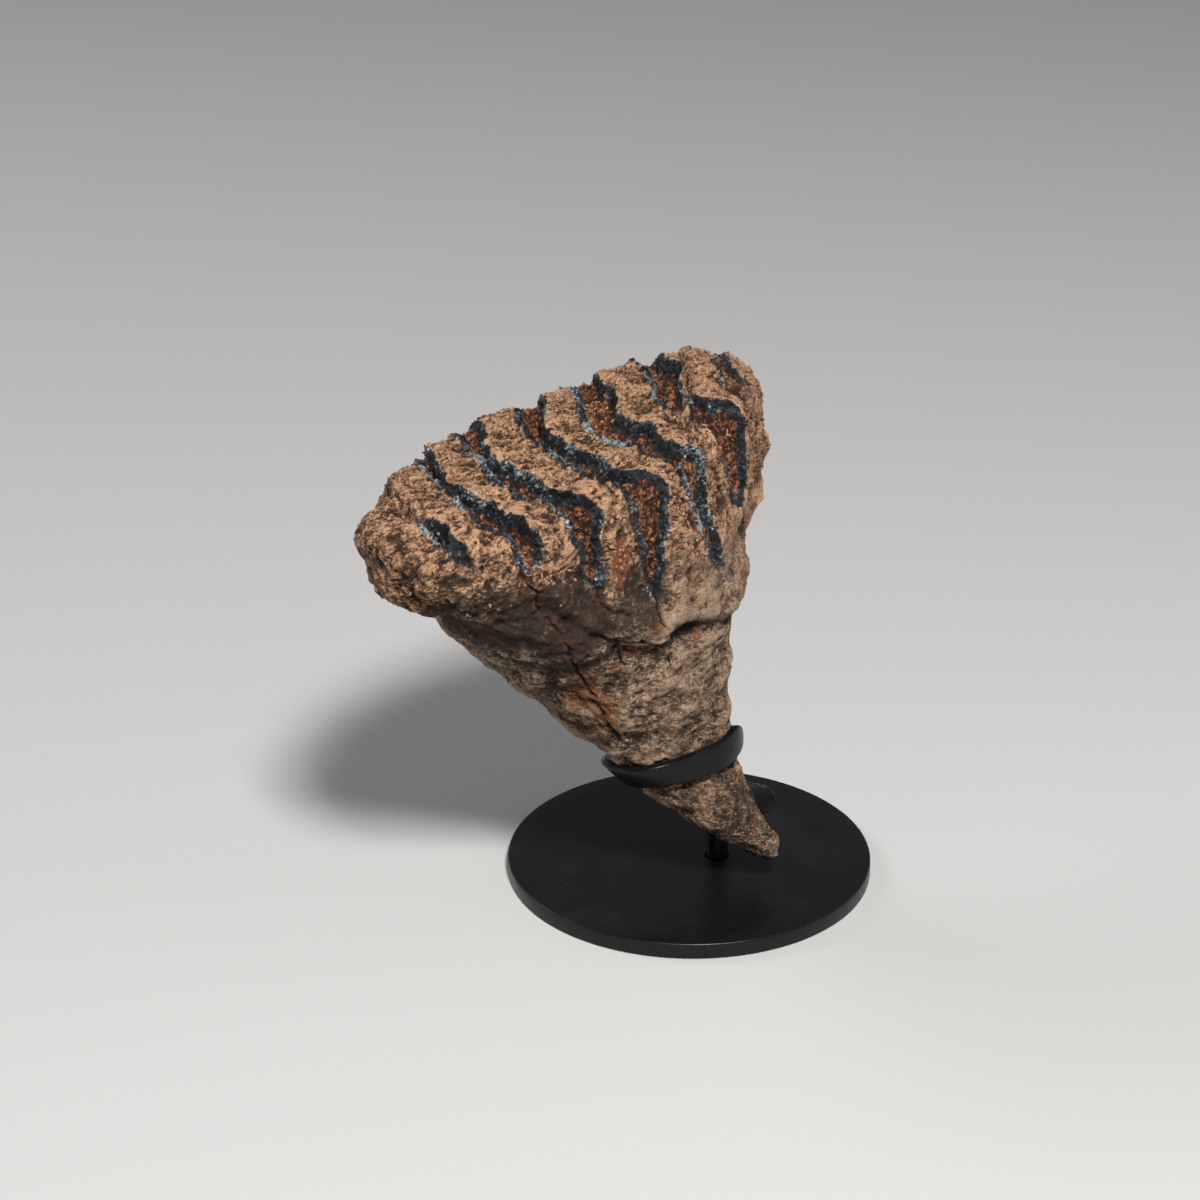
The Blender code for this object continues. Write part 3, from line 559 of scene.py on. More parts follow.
def bump(tree, height, depth, strength=1.0, under=()):
    # relief of a height, "depth" mm deep, over another relief if one is given
    node = addNode(tree, "ShaderNodeBump", under)
    tree.links.new(height, node.inputs["Height"])
    node.inputs["Distance"].default_value = depth * mm
    node.inputs["Strength"].default_value = strength
    return node.outputs["Normal"]


def makeGroup(name, inputs, outputs):
    group = bpy.data.node_groups.new(name, "ShaderNodeTree")
    for label, kind, value in inputs:
        socket = group.interface.new_socket(label, in_out="INPUT", socket_type=kind)
        if value is not None:
            socket.default_value = value
    for label, kind in outputs:
        group.interface.new_socket(label, in_out="OUTPUT", socket_type=kind)
    return group, group.nodes.new("NodeGroupInput"), group.nodes.new("NodeGroupOutput")


def mineralGrain():
    # fossil grain: broad patches, mottle, torn grain, thin dark strokes and crumbs with gaps
    group, given, result = makeGroup(
        "mineralGrain",
        [("Place", "NodeSocketVector", None), ("Grain Size", "NodeSocketFloat", 0.5),
         ("Fibre Stretch", "NodeSocketVector", (1.0, 1.0, 0.25))],
        [("Patches", "NodeSocketFloat"), ("Mottle", "NodeSocketFloat"),
         ("Grain", "NodeSocketFloat"), ("Strokes", "NodeSocketFloat"),
         ("Crumbs", "NodeSocketFloat"), ("Tiny", "NodeSocketFloat"),
         ("Threads", "NodeSocketFloat")])
    place, size = given.outputs["Place"], given.outputs["Grain Size"]
    scaled = addNode(group, "ShaderNodeVectorMath", {0: place}, operation="SCALE")
    group.links.new(calc(group, "DIVIDE", 1.0, size), scaled.inputs["Scale"])
    scaled = scaled.outputs[0]
    fibre = addNode(group, "ShaderNodeVectorMath",
                    {0: scaled, 1: given.outputs["Fibre Stretch"]}, operation="MULTIPLY").outputs[0]
    bent = noiseNode(group, scaled, 2.0, 2)
    bent = addNode(group, "ShaderNodeVectorMath", {0: fibre, 1: bent}, operation="ADD").outputs[0]
    cells = addNode(group, "ShaderNodeTexVoronoi", {"Vector": bent, "Scale": 0.55},
                    feature="DISTANCE_TO_EDGE").outputs["Distance"]
    thread = calc(group, "SUBTRACT", noiseNode(group, fibre, 2.4, 3, 0.6, 1.0), 0.5)
    links = {
        "Threads": spread(group, calc(group, "ABSOLUTE", thread), 0.035, 0.0),
        "Patches": spread(group, noiseNode(group, place, 9.0, 3, 0.55, 0.4), 0.36, 0.66),
        "Mottle": spread(group, noiseNode(group, scaled, 5.0, 5, 0.65, 0.6), 0.36, 0.64),
        "Grain": spread(group, noiseNode(group, fibre, 1.3, 5, 0.75, 0.4), 0.38, 0.62),
        "Strokes": spread(group, noiseNode(group, fibre, 2.2, 4, 0.75, 1.5), 0.47, 0.4),
        "Crumbs": spread(group, cells, 0.0, 0.22),
        "Tiny": spread(group, noiseNode(group, scaled, 0.75, 3, 0.8), 0.38, 0.62),
    }
    for label, output in links.items():
        group.links.new(output, result.inputs[label])
    return group


toothColours = {
    "cementLight": (0.8, 0.47, 0.272), "cement": (0.31, 0.16, 0.08),
    "cementDark": (0.05, 0.024, 0.014), "flakeLight": (0.5, 0.31, 0.2),
    "dentineLight": (0.58, 0.28, 0.135), "dentine": (0.19, 0.064, 0.022),
    "dentineDark": (0.03, 0.01, 0.005),
    "enamel": (0.006, 0.007, 0.009), "enamelGrey": (0.055, 0.075, 0.095),
    # the light enamel colour is that of pale chips and also of painted glints
    "enamelChipAndGlint": (0.5, 0.56, 0.6),
    "rootLight": (0.6, 0.43, 0.29), "root": (0.235, 0.145, 0.09), "rootDark": (0.03, 0.018, 0.012),
    # the dark stain colour here is that of real stains and also paints shade on the near side
    "rust": (0.3, 0.1, 0.028), "stainAndShade": (0.028, 0.018, 0.011), "crack": (0.008, 0.005, 0.004),
    "coarseBump": 0.9, "fineBump": 0.32,
}


def weighed(tree, *parts):
    # sum of values, each times its weight
    total = 0.0
    for value, weight in parts:
        total = calc(tree, "ADD", calc(tree, "MULTIPLY", value, weight), total)
    return total


def grainOf(tree, grain, place, size, stretch):
    node = addNode(tree, "ShaderNodeGroup", {}, node_tree=grain)
    tree.links.new(place, node.inputs["Place"])
    node.inputs["Grain Size"].default_value = size
    node.inputs["Fibre Stretch"].default_value = stretch
    return node.outputs


def threeTones(tree, tone, steps, dark, middle, light):
    colour = blendColour(tree, spread(tree, tone, steps[0], steps[1]), dark, middle)
    return blendColour(tree, spread(tree, tone, steps[1], steps[2]), colour, light)


def fossilTooth(grain):
    look = toothColours
    material, tree, shader = newMaterial("fossilTooth")
    place = placeInMm(tree)
    height = addNode(tree, "ShaderNodeSeparateXYZ", {0: place}).outputs[2]
    onSkin = addNode(tree, "ShaderNodeCombineXYZ", {0: vertexValue(tree, "across"),
                                                    1: vertexValue(tree, "along"), 2: height})
    crown = grainOf(tree, grain, onSkin.outputs[0], 0.8, (1.5, 0.5, 1.0))
    side = grainOf(tree, grain, place, 0.5, (0.65, 0.8, 1.25))
    shell = grainOf(tree, grain, place, 0.7, (1.0, 1.0, 1.0))
    waver = calc(tree, "MULTIPLY", noiseNode(tree, place, 7.0, 3), 26.0)
    low = spread(tree, calc(tree, "ADD", height, waver), 93, 77)
    jitter = calc(tree, "SUBTRACT", noiseNode(tree, place, 1.2, 4, 0.7), 0.5)
    distance = weighed(tree, (vertexValue(tree, "wallDistance"), 1.0), (jitter, 1.5))
    # the vertex value read here paints shade into the hollows and light onto the crests
    opening, cavityShade = vertexValue(tree, "opening"), vertexValue(tree, "cavityShade")
    # cement
    tone = weighed(tree, (crown["Mottle"], 0.2), (crown["Grain"], 0.45), (shell["Crumbs"], 0.15),
                   (crown["Strokes"], -0.7), (crown["Patches"], 0.3), (cavityShade, 0.75),
                   (shell["Tiny"], 0.3), (shell["Mottle"], 0.25), (crown["Threads"], 0.5))
    cement = threeTones(tree, tone, (0.46, 0.82, 1.15), look["cementDark"], look["cement"],
                        look["cementLight"])
    # root and lower sides, made darker from 36 mm down to 20 mm over the table as painted shade
    # toward the tip
    depth = weighed(tree, (side["Mottle"], 0.12), (side["Grain"], 0.45), (side["Crumbs"], 0.25),
                    (side["Strokes"], -0.45), (side["Patches"], 0.3), (cavityShade, 0.62),
                    (side["Tiny"], 0.3), (side["Threads"], 0.55),
                    (spread(tree, height, 36, 20), -0.32))
    root = threeTones(tree, depth, (0.12, 0.6, 1.1), look["rootDark"], look["root"],
                      look["rootLight"])
    rusty = spread(tree, noiseNode(tree, place, 5.5, 5, 0.65, 1.0), 0.56, 0.7)
    rusty = calc(tree, "MULTIPLY", rusty, 0.6)
    root = blendColour(tree, rusty, root, look["rust"])
    colour = blendColour(tree, low, cement, root)
    rusty = weighed(tree, (vertexValue(tree, "rust"), 1.0), (side["Grain"], 0.3),
                    (side["Patches"], 0.2), (side["Threads"], -0.3), (jitter, 1.0))
    colour = blendColour(tree, spread(tree, rusty, 0.5, 0.95, 0, 0.88), colour, look["rust"])
    # real dark stains together with painted shade on the near side, deeper in hollows
    stainAndShade = weighed(tree, (vertexValue(tree, "stainAndShade"), 1.0), (side["Grain"], -0.5),
                    (side["Mottle"], -0.25), (cavityShade, -0.3))
    colour = blendColour(tree, spread(tree, stainAndShade, -0.3, 0.25, 0, 0.9), colour, look["stainAndShade"])
    # dentine
    dent = weighed(tree, (shell["Grain"], 0.4), (shell["Crumbs"], 0.35), (shell["Mottle"], 0.2),
                   (cavityShade, 0.6), (shell["Patches"], 0.15), (shell["Tiny"], 0.3))
    dentine = threeTones(tree, dent, (0.3, 0.58, 0.9), look["dentineDark"], look["dentine"],
                         look["dentineLight"])
    onDentine = calc(tree, "MULTIPLY", spread(tree, distance, 0.7, 1.1), opening, clamp=True)
    colour = blendColour(tree, onDentine, colour, dentine)
    # cracks
    crack = spread(tree, weighed(tree, (vertexValue(tree, "crack"), 1.0), (jitter, 0.9)), 0.42, 0.1)
    halo = spread(tree, weighed(tree, (vertexValue(tree, "crack"), 1.0), (jitter, 6.0)),
                  1.2, 0.0, 0, 0.25)
    colour = blendColour(tree, halo, colour, look["rust"])
    colour = blendColour(tree, crack, colour, look["crack"])
    # enamel
    enamel = blendColour(tree, spread(tree, weighed(tree, (shell["Grain"], 0.5),
                                                    (shell["Mottle"], 0.5), (shell["Tiny"], 0.3)),
                                      0.55, 1.05), look["enamel"], look["enamelGrey"])
    # pale enamel chips and painted glints, more of them on the crests and on the left walls
    left = spread(tree, vertexValue(tree, "leftWall"), 0.3, 0.7)
    chips = weighed(tree, (shell["Grain"], 0.35), (shell["Tiny"], 0.35), (cavityShade, 0.15),
                    (shell["Patches"], 0.5), (left, 0.2))
    enamel = blendColour(tree, spread(tree, chips, 0.85, 1.2), enamel, look["enamelChipAndGlint"])
    outer = blendValue(tree, left, -0.3, -0.95)
    outer = spread(tree, calc(tree, "SUBTRACT", distance, outer), -0.2, 0.15)
    onWall = calc(tree, "MULTIPLY", outer, spread(tree, distance, 1.05, 0.75))
    onWall = calc(tree, "MULTIPLY", onWall, spread(tree, opening, 0.05, 0.4), clamp=True)
    colour = blendColour(tree, onWall, colour, enamel)
    tree.links.new(colour, shader.inputs["Base Color"])
    tree.links.new(spread(tree, onWall, 0, 1, 0.85, 0.45), shader.inputs["Roughness"])
    shader.inputs["Specular IOR Level"].default_value = 0.4
    coarse = weighed(tree, (blendValue(tree, low, crown["Grain"], side["Grain"]), 0.5),
                     (blendValue(tree, low, crown["Crumbs"], side["Crumbs"]), 0.5),
                     (blendValue(tree, low, crown["Threads"], side["Threads"]), 0.4))
    rough = bump(tree, coarse, look["coarseBump"])
    fine = bump(tree, crown["Tiny"], look["fineBump"], under={"Normal": rough})
    tree.links.new(fine, shader.inputs["Normal"])
    return material


def coatingGrain():
    # fine orange-peel of a painted metal, with faint dust in patches
    group, given, result = makeGroup(
        "coatingGrain",
        [("Place", "NodeSocketVector", None), ("Grain Size", "NodeSocketFloat", 0.5)],
        [("Peel", "NodeSocketFloat"), ("Dust", "NodeSocketFloat")])
    place = given.outputs["Place"]
    scaled = addNode(group, "ShaderNodeVectorMath", {0: place}, operation="SCALE")
    group.links.new(calc(group, "DIVIDE", 1.0, given.outputs["Grain Size"]), scaled.inputs["Scale"])
    group.links.new(noiseNode(group, scaled.outputs[0], 1.0, 3, 0.6), result.inputs["Peel"])
    dust = spread(group, noiseNode(group, place, 14.0, 6, 0.65), 0.45, 0.75, 0, 0.5)
    specks = spread(group, noiseNode(group, place, 0.55, 2, 0.6), 0.62, 0.72)
    dust = calc(group, "ADD", dust, specks, clamp=True)
    group.links.new(dust, result.inputs["Dust"])
    return group


stand = {
    "baseDiameter": 70.0, "baseThickness": 3.2, "baseEdge": 0.35, "baseSegments": 160,
    "postDiameter": 4.2, "postPlace": (3.6, -4.1), "holeGap": 0.3, "holeDepth": 2.5,
    "postSegments": 48, "postFoot": 1.0, "postEdge": 0.2,
    "postRings": (1.0, 0.75, 0.5, 0.25, 0.05),  # shares of the radius over the rod's top
    "postTop": 18.0, "weld": 0.5,  # where it ends beside the strip, how far it runs into it
}


coatings = {
    "black": (0.004, 0.0042, 0.0052), "dust": (0.02, 0.02, 0.023),
    "disc": {"roughness": 0.34, "peelSize": 0.45, "peelDepth": 0.05, "dustShare": 0.5,
             "shine": 0.28},
    "strip": {"roughness": 0.27, "peelSize": 0.5, "peelDepth": 0.03, "dustShare": 0.1,
              "shine": 0.22},
    "rod": {"roughness": 0.3, "peelSize": 0.5, "peelDepth": 0.03, "dustShare": 0.2,
            "shine": 0.28},
}


def blackCoating(name, coating, look):
    material, tree, shader = newMaterial(name)
    group = addNode(tree, "ShaderNodeGroup", {}, node_tree=coating)
    tree.links.new(placeInMm(tree), group.inputs["Place"])
    group.inputs["Grain Size"].default_value = look["peelSize"]
    dust = calc(tree, "MULTIPLY", group.outputs["Dust"], look["dustShare"])
    colour = blendColour(tree, dust, coatings["black"], coatings["dust"])
    tree.links.new(colour, shader.inputs["Base Color"])
    tree.links.new(spread(tree, calc(tree, "ADD", group.outputs["Peel"], dust), 0.3, 0.9,
                          look["roughness"] - 0.06, look["roughness"] + 0.14),
                   shader.inputs["Roughness"])
    tree.links.new(bump(tree, group.outputs["Peel"], look["peelDepth"], 0.5),
                   shader.inputs["Normal"])
    shader.inputs["Specular IOR Level"].default_value = look["shine"]
    return material


def skinOfRings(name, rings, segments):
    # rings given as middle x, middle y, radius, z, closed at both ends by a face
    mesh = bmesh.new()
    bearings = [2 * math.pi * j / segments for j in range(segments)]
    made = [[mesh.verts.new(Vector((x + r * math.cos(t), y + r * math.sin(t), z)) * mm)
             for t in bearings] for x, y, r, z in rings]
    for a, b in zip(made, made[1:]):
        for j in range(segments):
            k = (j + 1) % segments
            mesh.faces.new((a[j], a[k], b[k], b[j]))
    mesh.faces.new(made[0][::-1])
    mesh.faces.new(made[-1])
    bmesh.ops.recalc_face_normals(mesh, faces=mesh.faces)
    data = bpy.data.meshes.new(name)
    mesh.to_mesh(data)
    mesh.free()
    data.shade_smooth()
    data.set_sharp_from_angle(angle=math.radians(35))
    piece = bpy.data.objects.new(name, data)
    scene.collection.objects.link(piece)
    return piece


def makeBase():
    # a disc with small rounded edges and a blind hole for the post
    radius, top, edge = stand["baseDiameter"] / 2, stand["baseThickness"], stand["baseEdge"]
    px, py = stand["postPlace"]
    hole = stand["postDiameter"] / 2 + stand["holeGap"]
    rings = [(0, 0, radius * 0.5, 0)]
    rings += [(0, 0, radius - edge + edge * math.sin(t), edge * (1 - math.cos(t)))
              for t in np.linspace(0, math.pi / 2, 5)]
    rings += [(0, 0, radius - edge + edge * math.cos(t), top - edge + edge * math.sin(t))
              for t in np.linspace(0, math.pi / 2, 5)]
    for share in np.linspace(0, 1, 9)[1:]:
        rings.append((px * share, py * share, radius - edge + (hole - radius + edge) * share, top))
    rings.append((px, py, hole, top - stand["holeDepth"]))
    return skinOfRings("fine_base", rings, stand["baseSegments"])


# The strip follows the skin of the root, from the tip of its tail to its free front end.
strip = {
    "width": 5.4, "thickness": 1.5, "edge": 0.35, "clearance": 0.65,
    "rise": ((72, 19.6), (100, 22.6), (125, 26.0), (150, 28.8), (180, 30.3), (210, 31.6),
             (240, 32.0), (270, 31.8), (300, 32.2), (330, 33.8)),
    "tailLength": 15.0, "tailTurn": 10.0, "tailDrop": 4.1, "tailSteps": 8, "bearingStep": 4.0,
    "pathSmoothing": 6, "tiltSmoothing": 12, "straightSteps": 150, "endSteps": 12, "endCut": 0.02,
}


def eased(points, rounds):
    for _ in range(rounds):
        points[1:-1] = (points[:-2] + 2 * points[1:-1] + points[2:]) / 4
    return points


def searchTree(piece):
    # for rays cast at a piece, in mm
    skin = piece.data
    return BVHTree.FromPolygons([piece.matrix_world @ v.co / mm for v in skin.vertices],
                                [p.vertices for p in skin.polygons])


def rootSkin(tree, bearing, z):
    left, right = (float(v) for v in rootOutline(np.array(z)))
    rows = [row[:2] for row in tooth["root"]]
    middle = Vector(((left + right) / 2, float(through(rows, z)), z))
    out = Vector((math.cos(bearing), math.sin(bearing), 0))
    return tree.ray_cast(middle + out * 60, -out)[0]


def stripFrames(toothNode):
    # middle, upward and outward direction along the strip, in mm
    tree = searchTree(toothNode)
    bearings = np.arange(strip["rise"][0][0], strip["rise"][-1][0] + 0.1, strip["bearingStep"])
    heights = through(strip["rise"], bearings)
    low, high = (np.array([rootSkin(tree, b, z) for b, z in zip(np.radians(bearings), heights + h)])
                 for h in (-strip["width"] / 2, strip["width"] / 2))
    middle = eased((low + high) / 2, strip["pathSmoothing"])
    up = eased(high - low, strip["tiltSmoothing"])
    start, leaving = middle[0], middle[0] - middle[1]
    heading = math.atan2(leaving[1], leaving[0])
    slope = strip["tailDrop"] / strip["tailLength"]
    level, tail = math.sqrt(1 - slope ** 2), []
    for _ in range(strip["tailSteps"]):
        heading -= math.radians(strip["tailTurn"]) / strip["tailSteps"]
        ahead = np.array([math.cos(heading) * level, math.sin(heading) * level, -slope])
        start = start + ahead * strip["tailLength"] / strip["tailSteps"]
        tail.append(start)
    middle = np.concatenate([tail[::-1], middle])
    up = np.concatenate([np.tile(up[0], (strip["tailSteps"], 1)), up])
    tangent = np.gradient(middle, axis=0)
    tangent /= np.linalg.norm(tangent, axis=1, keepdims=True)
    up = up - (up * tangent).sum(1, keepdims=True) * tangent
    up /= np.linalg.norm(up, axis=1, keepdims=True)
    out = np.cross(tangent, up)
    return middle + out * (strip["thickness"] / 2 + strip["clearance"]), up, out


def stripPath(toothNode):
    # the middle line as a plain mesh, with the directions and the share of the width kept on it
    frames = stripFrames(toothNode)
    run = np.linalg.norm(np.diff(frames[0], axis=0), axis=1)
    run = np.concatenate([[0], np.cumsum(run)])
    half, length = strip["width"] / 2, run[-1]
    ends = half * (1 - np.cos(np.linspace(0, math.pi / 2, strip["endSteps"])))
    ends[0] = strip["endCut"]
    places = np.concatenate([ends, np.linspace(half, length - half, strip["straightSteps"])[1:-1],
                             length - ends[::-1]])
    middle, up, out = (np.stack([np.interp(places, run, values[:, c]) for c in range(3)], 1)
                       for values in frames)
    fromEnd = np.minimum(np.minimum(places, length - places), half)
    share = np.sqrt(1 - (1 - fromEnd / half) ** 2)
    mesh = bpy.data.meshes.new("stripPath")
    mesh.from_pydata((middle * mm).tolist(), [(i, i + 1) for i in range(len(middle) - 1)], [])
    for name, values in (("middle", middle * mm), ("upward", up), ("outward", out)):
        kept = mesh.attributes.new(name, "FLOAT_VECTOR", "POINT")
        kept.data.foreach_set("vector", values.ravel())
    mesh.attributes.new("share", "FLOAT", "POINT").data.foreach_set("value", share)
    return mesh


def named(tree, name, kind):
    node = addNode(tree, "GeometryNodeInputNamedAttribute", {"Name": name}, data_type=kind)
    return node.outputs[0]


def vectorCalc(tree, operation, a, b):
    key = "Scale" if operation == "SCALE" else 1
    return addNode(tree, "ShaderNodeVectorMath", {0: a, key: b}, operation=operation).outputs[0]


def geometryTree(name, inputs, output):
    tree = bpy.data.node_groups.new(name, "GeometryNodeTree")
    for label, kind in inputs:
        tree.interface.new_socket(label, in_out="INPUT", socket_type="NodeSocket" + kind)
    tree.interface.new_socket(output, in_out="OUTPUT", socket_type="NodeSocketGeometry")
    return tree, tree.nodes.new("NodeGroupInput").outputs, tree.nodes.new("NodeGroupOutput")


def sweepTree():
    # sweeps a flat section with small rounded edges along the path
    tree, given, result = geometryTree("flatStrip", (
        ("Path", "Geometry"), ("Width", "Float"), ("Thickness", "Float"), ("Edge", "Float"),
        ("Coating", "Material")), "Strip")
    section = addNode(tree, "GeometryNodeCurvePrimitiveQuadrilateral",
                      {"Width": given["Width"], "Height": given["Thickness"]}, mode="RECTANGLE")
    section = addNode(tree, "GeometryNodeFilletCurve", {"Curve": section.outputs[0], "Count": 3,
                                                        "Radius": given["Edge"]}, mode="POLY")
    corner = addNode(tree, "GeometryNodeStoreNamedAttribute",
                     {"Geometry": section.outputs[0], "Name": "corner",
                      "Value": addNode(tree, "GeometryNodeInputPosition").outputs[0]},
                     data_type="FLOAT_VECTOR", domain="POINT")
    path = addNode(tree, "GeometryNodeMeshToCurve", {"Mesh": given["Path"]})
    swept = addNode(tree, "GeometryNodeCurveToMesh", {"Curve": path.outputs[0], "Fill Caps": True,
                                                      "Profile Curve": corner.outputs[0]})
    part = named(tree, "corner", "FLOAT_VECTOR")
    part = addNode(tree, "ShaderNodeSeparateXYZ", {0: part}).outputs
    wide = calc(tree, "MULTIPLY", part[0], named(tree, "share", "FLOAT"))
    place = vectorCalc(tree, "ADD", named(tree, "middle", "FLOAT_VECTOR"),
                       vectorCalc(tree, "SCALE", named(tree, "upward", "FLOAT_VECTOR"), wide))
    place = vectorCalc(tree, "ADD", place,
                       vectorCalc(tree, "SCALE", named(tree, "outward", "FLOAT_VECTOR"), part[1]))
    moved = addNode(tree, "GeometryNodeSetPosition", {"Geometry": swept.outputs[0],
                                                      "Position": place})
    plain = addNode(tree, "GeometryNodeRealizeInstances", {"Geometry": moved.outputs[0]})
    coated = addNode(tree, "GeometryNodeSetMaterial", {"Geometry": plain.outputs[0],
                                                       "Material": given["Coating"]})
    tree.links.new(coated.outputs[0], result.inputs[0])
    return tree


def grown(name, source, tree, values):
    # runs a geometry tree on a mesh and keeps the plain result
    maker = bpy.data.objects.new(name + "Maker", source)
    scene.collection.objects.link(maker)
    modifier = maker.modifiers.new("grow", "NODES")
    modifier.node_group = tree
    for item in tree.interface.items_tree:
        if item.in_out == "INPUT" and item.name in values:
            modifier[item.identifier] = values[item.name]
    maker.update_tag()
    mesh = bpy.data.meshes.new_from_object(
        maker.evaluated_get(bpy.context.evaluated_depsgraph_get()))
    mesh.name = name
    bpy.data.objects.remove(maker)
    bpy.data.node_groups.remove(tree)
    piece = bpy.data.objects.new(name, mesh)
    scene.collection.objects.link(piece)
    return piece


# Loose bits: mm between them, how many per square mm, their radius, and their three tones.
chips = {
    "enamel_chips": {"share": "chipShare", "spacing": 0.5, "density": 1.5, "size": 0.46, "seed": 11,
                     "material": "enamelChips", "steps": (0.4, 0.75, 1.0),
                     "tones": ("enamel", "enamelGrey", "enamelChipAndGlint")},
    "dentine_crumbs": {"share": "crumbShare", "spacing": 0.6, "density": 1.0, "size": 0.5,
                       "seed": 23, "material": "dentineCrumbs", "steps": (0, 0.55, 1.1),
                       "tones": ("dentineDark", "dentine", "dentineLight")},
    "cement_flakes": {"share": "flakeShare", "spacing": 0.7, "density": 0.7, "size": 0.55,
                      "seed": 37, "material": "cementFlakes", "steps": (0, 0.4, 1.0),
                      "tones": ("cementDark", "cement", "flakeLight")},
}


def scatterTree():
    # small broken bits on a skin, each turned and sized by chance, with a tone of its own
    tree, given, result = geometryTree("scatteredBits", (
        ("Skin", "Geometry"), ("Share Name", "String"), ("Spacing", "Float"), ("Density", "Float"),
        ("Bit Size", "Float"), ("Seed", "Int"), ("Material", "Material")), "Bits")
    share = named(tree, given["Share Name"], "FLOAT")
    points = addNode(tree, "GeometryNodeDistributePointsOnFaces", {
        "Mesh": given["Skin"], "Distance Min": given["Spacing"], "Density Max": given["Density"],
        "Density Factor": share, "Seed": given["Seed"]}, distribute_method="POISSON")
    ball = addNode(tree, "GeometryNodeMeshIcoSphere", {"Radius": given["Bit Size"],
                                                       "Subdivisions": 1})
    place = addNode(tree, "GeometryNodeInputPosition").outputs[0]
    rough = addNode(tree, "ShaderNodeTexNoise", {"Vector": place, "Scale": 1800.0}).outputs["Color"]
    rough = vectorCalc(tree, "SUBTRACT", rough, (0.5, 0.5, 0.5))
    rough = vectorCalc(tree, "SCALE", rough, calc(tree, "MULTIPLY", given["Bit Size"], 1.6))
    bit = addNode(tree, "GeometryNodeSetPosition", {"Geometry": ball.outputs[0], "Offset": rough})
    turned = addNode(tree, "FunctionNodeRandomValue", {"Max": (6.28, 6.28, 6.28), "ID": addNode(
        tree, "GeometryNodeInputIndex").outputs[0], "Seed": given["Seed"]},
        data_type="FLOAT_VECTOR").outputs[0]
    sized = addNode(tree, "FunctionNodeRandomValue", {"Min": (0.4, 0.35, 0.25), "Max": (
        1.3, 1.0, 0.7), "Seed": given["Seed"]}, data_type="FLOAT_VECTOR").outputs[0]
    many = addNode(tree, "GeometryNodeInstanceOnPoints", {
        "Points": points.outputs["Points"], "Instance": bit.outputs[0], "Rotation": turned,
        "Scale": sized})
    tone = addNode(tree, "FunctionNodeRandomValue", {"Seed": given["Seed"]}, data_type="FLOAT")
    toned = addNode(tree, "GeometryNodeStoreNamedAttribute", {
        "Geometry": many.outputs[0], "Name": "tone", "Value": tone.outputs[1]},
        data_type="FLOAT", domain="INSTANCE")
    plain = addNode(tree, "GeometryNodeRealizeInstances", {"Geometry": toned.outputs[0]})
    done = addNode(tree, "GeometryNodeSetMaterial", {"Geometry": plain.outputs[0],
                                                     "Material": given["Material"]})
    tree.links.new(done.outputs[0], result.inputs[0])
    return tree


def bitMaterial(grain, bit):
    material, tree, shader = newMaterial(bit["material"])
    bits = grainOf(tree, grain, placeInMm(tree), 0.4, (1.0, 1.0, 1.0))
    tone = weighed(tree, (vertexValue(tree, "tone"), 0.55), (bits["Grain"], 0.2),
                   (bits["Patches"], 0.35))
    colour = threeTones(tree, tone, bit["steps"], *(toothColours[key] for key in bit["tones"]))
    tree.links.new(colour, shader.inputs["Base Color"])
    tree.links.new(spread(tree, tone, 0, 1, 0.75, 0.5), shader.inputs["Roughness"])
    tree.links.new(bump(tree, bits["Grain"], 0.1), shader.inputs["Normal"])
    return material


def scatterBits(name, skin, bit, material):
    source = skin.data.copy()
    piece = grown(name, source, scatterTree(), {
        "Share Name": bit["share"], "Spacing": bit["spacing"] * mm,
        "Density": bit["density"] / mm ** 2, "Bit Size": bit["size"] * mm,
        "Seed": bit["seed"], "Material": material})
    bpy.data.meshes.remove(source)
    print(name, "faces", len(piece.data.polygons))
    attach(piece, "root")


def makeStrip(toothNode, coated):
    piece = grown("fine_strip", stripPath(toothNode), sweepTree(), {
        "Width": strip["width"] * mm, "Thickness": strip["thickness"] * mm,
        "Edge": strip["edge"] * mm, "Coating": coated})
    solid = bmesh.new()
    solid.from_mesh(piece.data)
    bmesh.ops.remove_doubles(solid, verts=solid.verts, dist=1e-7)
    bmesh.ops.recalc_face_normals(solid, faces=solid.faces)
    print("strip faces", len(solid.faces), "volume in cubic mm", solid.calc_volume() * 1e9,
          "open edges", sum(not e.is_manifold for e in solid.edges))
    solid.to_mesh(piece.data)
    solid.free()
    piece.data.shade_smooth()
    piece.data.set_sharp_from_angle(angle=math.radians(40))
    return piece


def makePost(stripPiece):
    # the rod runs up the back of the sloping strip and a little way into it, like a weld
    x, y = stand["postPlace"]
    radius, edge = stand["postDiameter"] / 2, stand["postEdge"]
    low, high = stand["postFoot"], stand["postTop"]
    rings = [(x, y, radius - edge, low), (x, y, radius, low + edge)]
    rings += [(x, y, radius * share, high) for share in stand["postRings"]]
    piece = skinOfRings("fine_post", rings, stand["postSegments"])
    tree = searchTree(stripPiece)
    for vertex in piece.data.vertices:
        if vertex.co.z < (high - edge) * mm:
            continue
        under = Vector((vertex.co.x / mm, vertex.co.y / mm, stand["baseThickness"]))
        hit = tree.ray_cast(under, Vector((0, 0, 1)))[0]
        if hit:
            vertex.co.z = min(hit.z + stand["weld"], high) * mm
    piece.data.set_sharp_from_angle(angle=math.radians(35))
    return piece


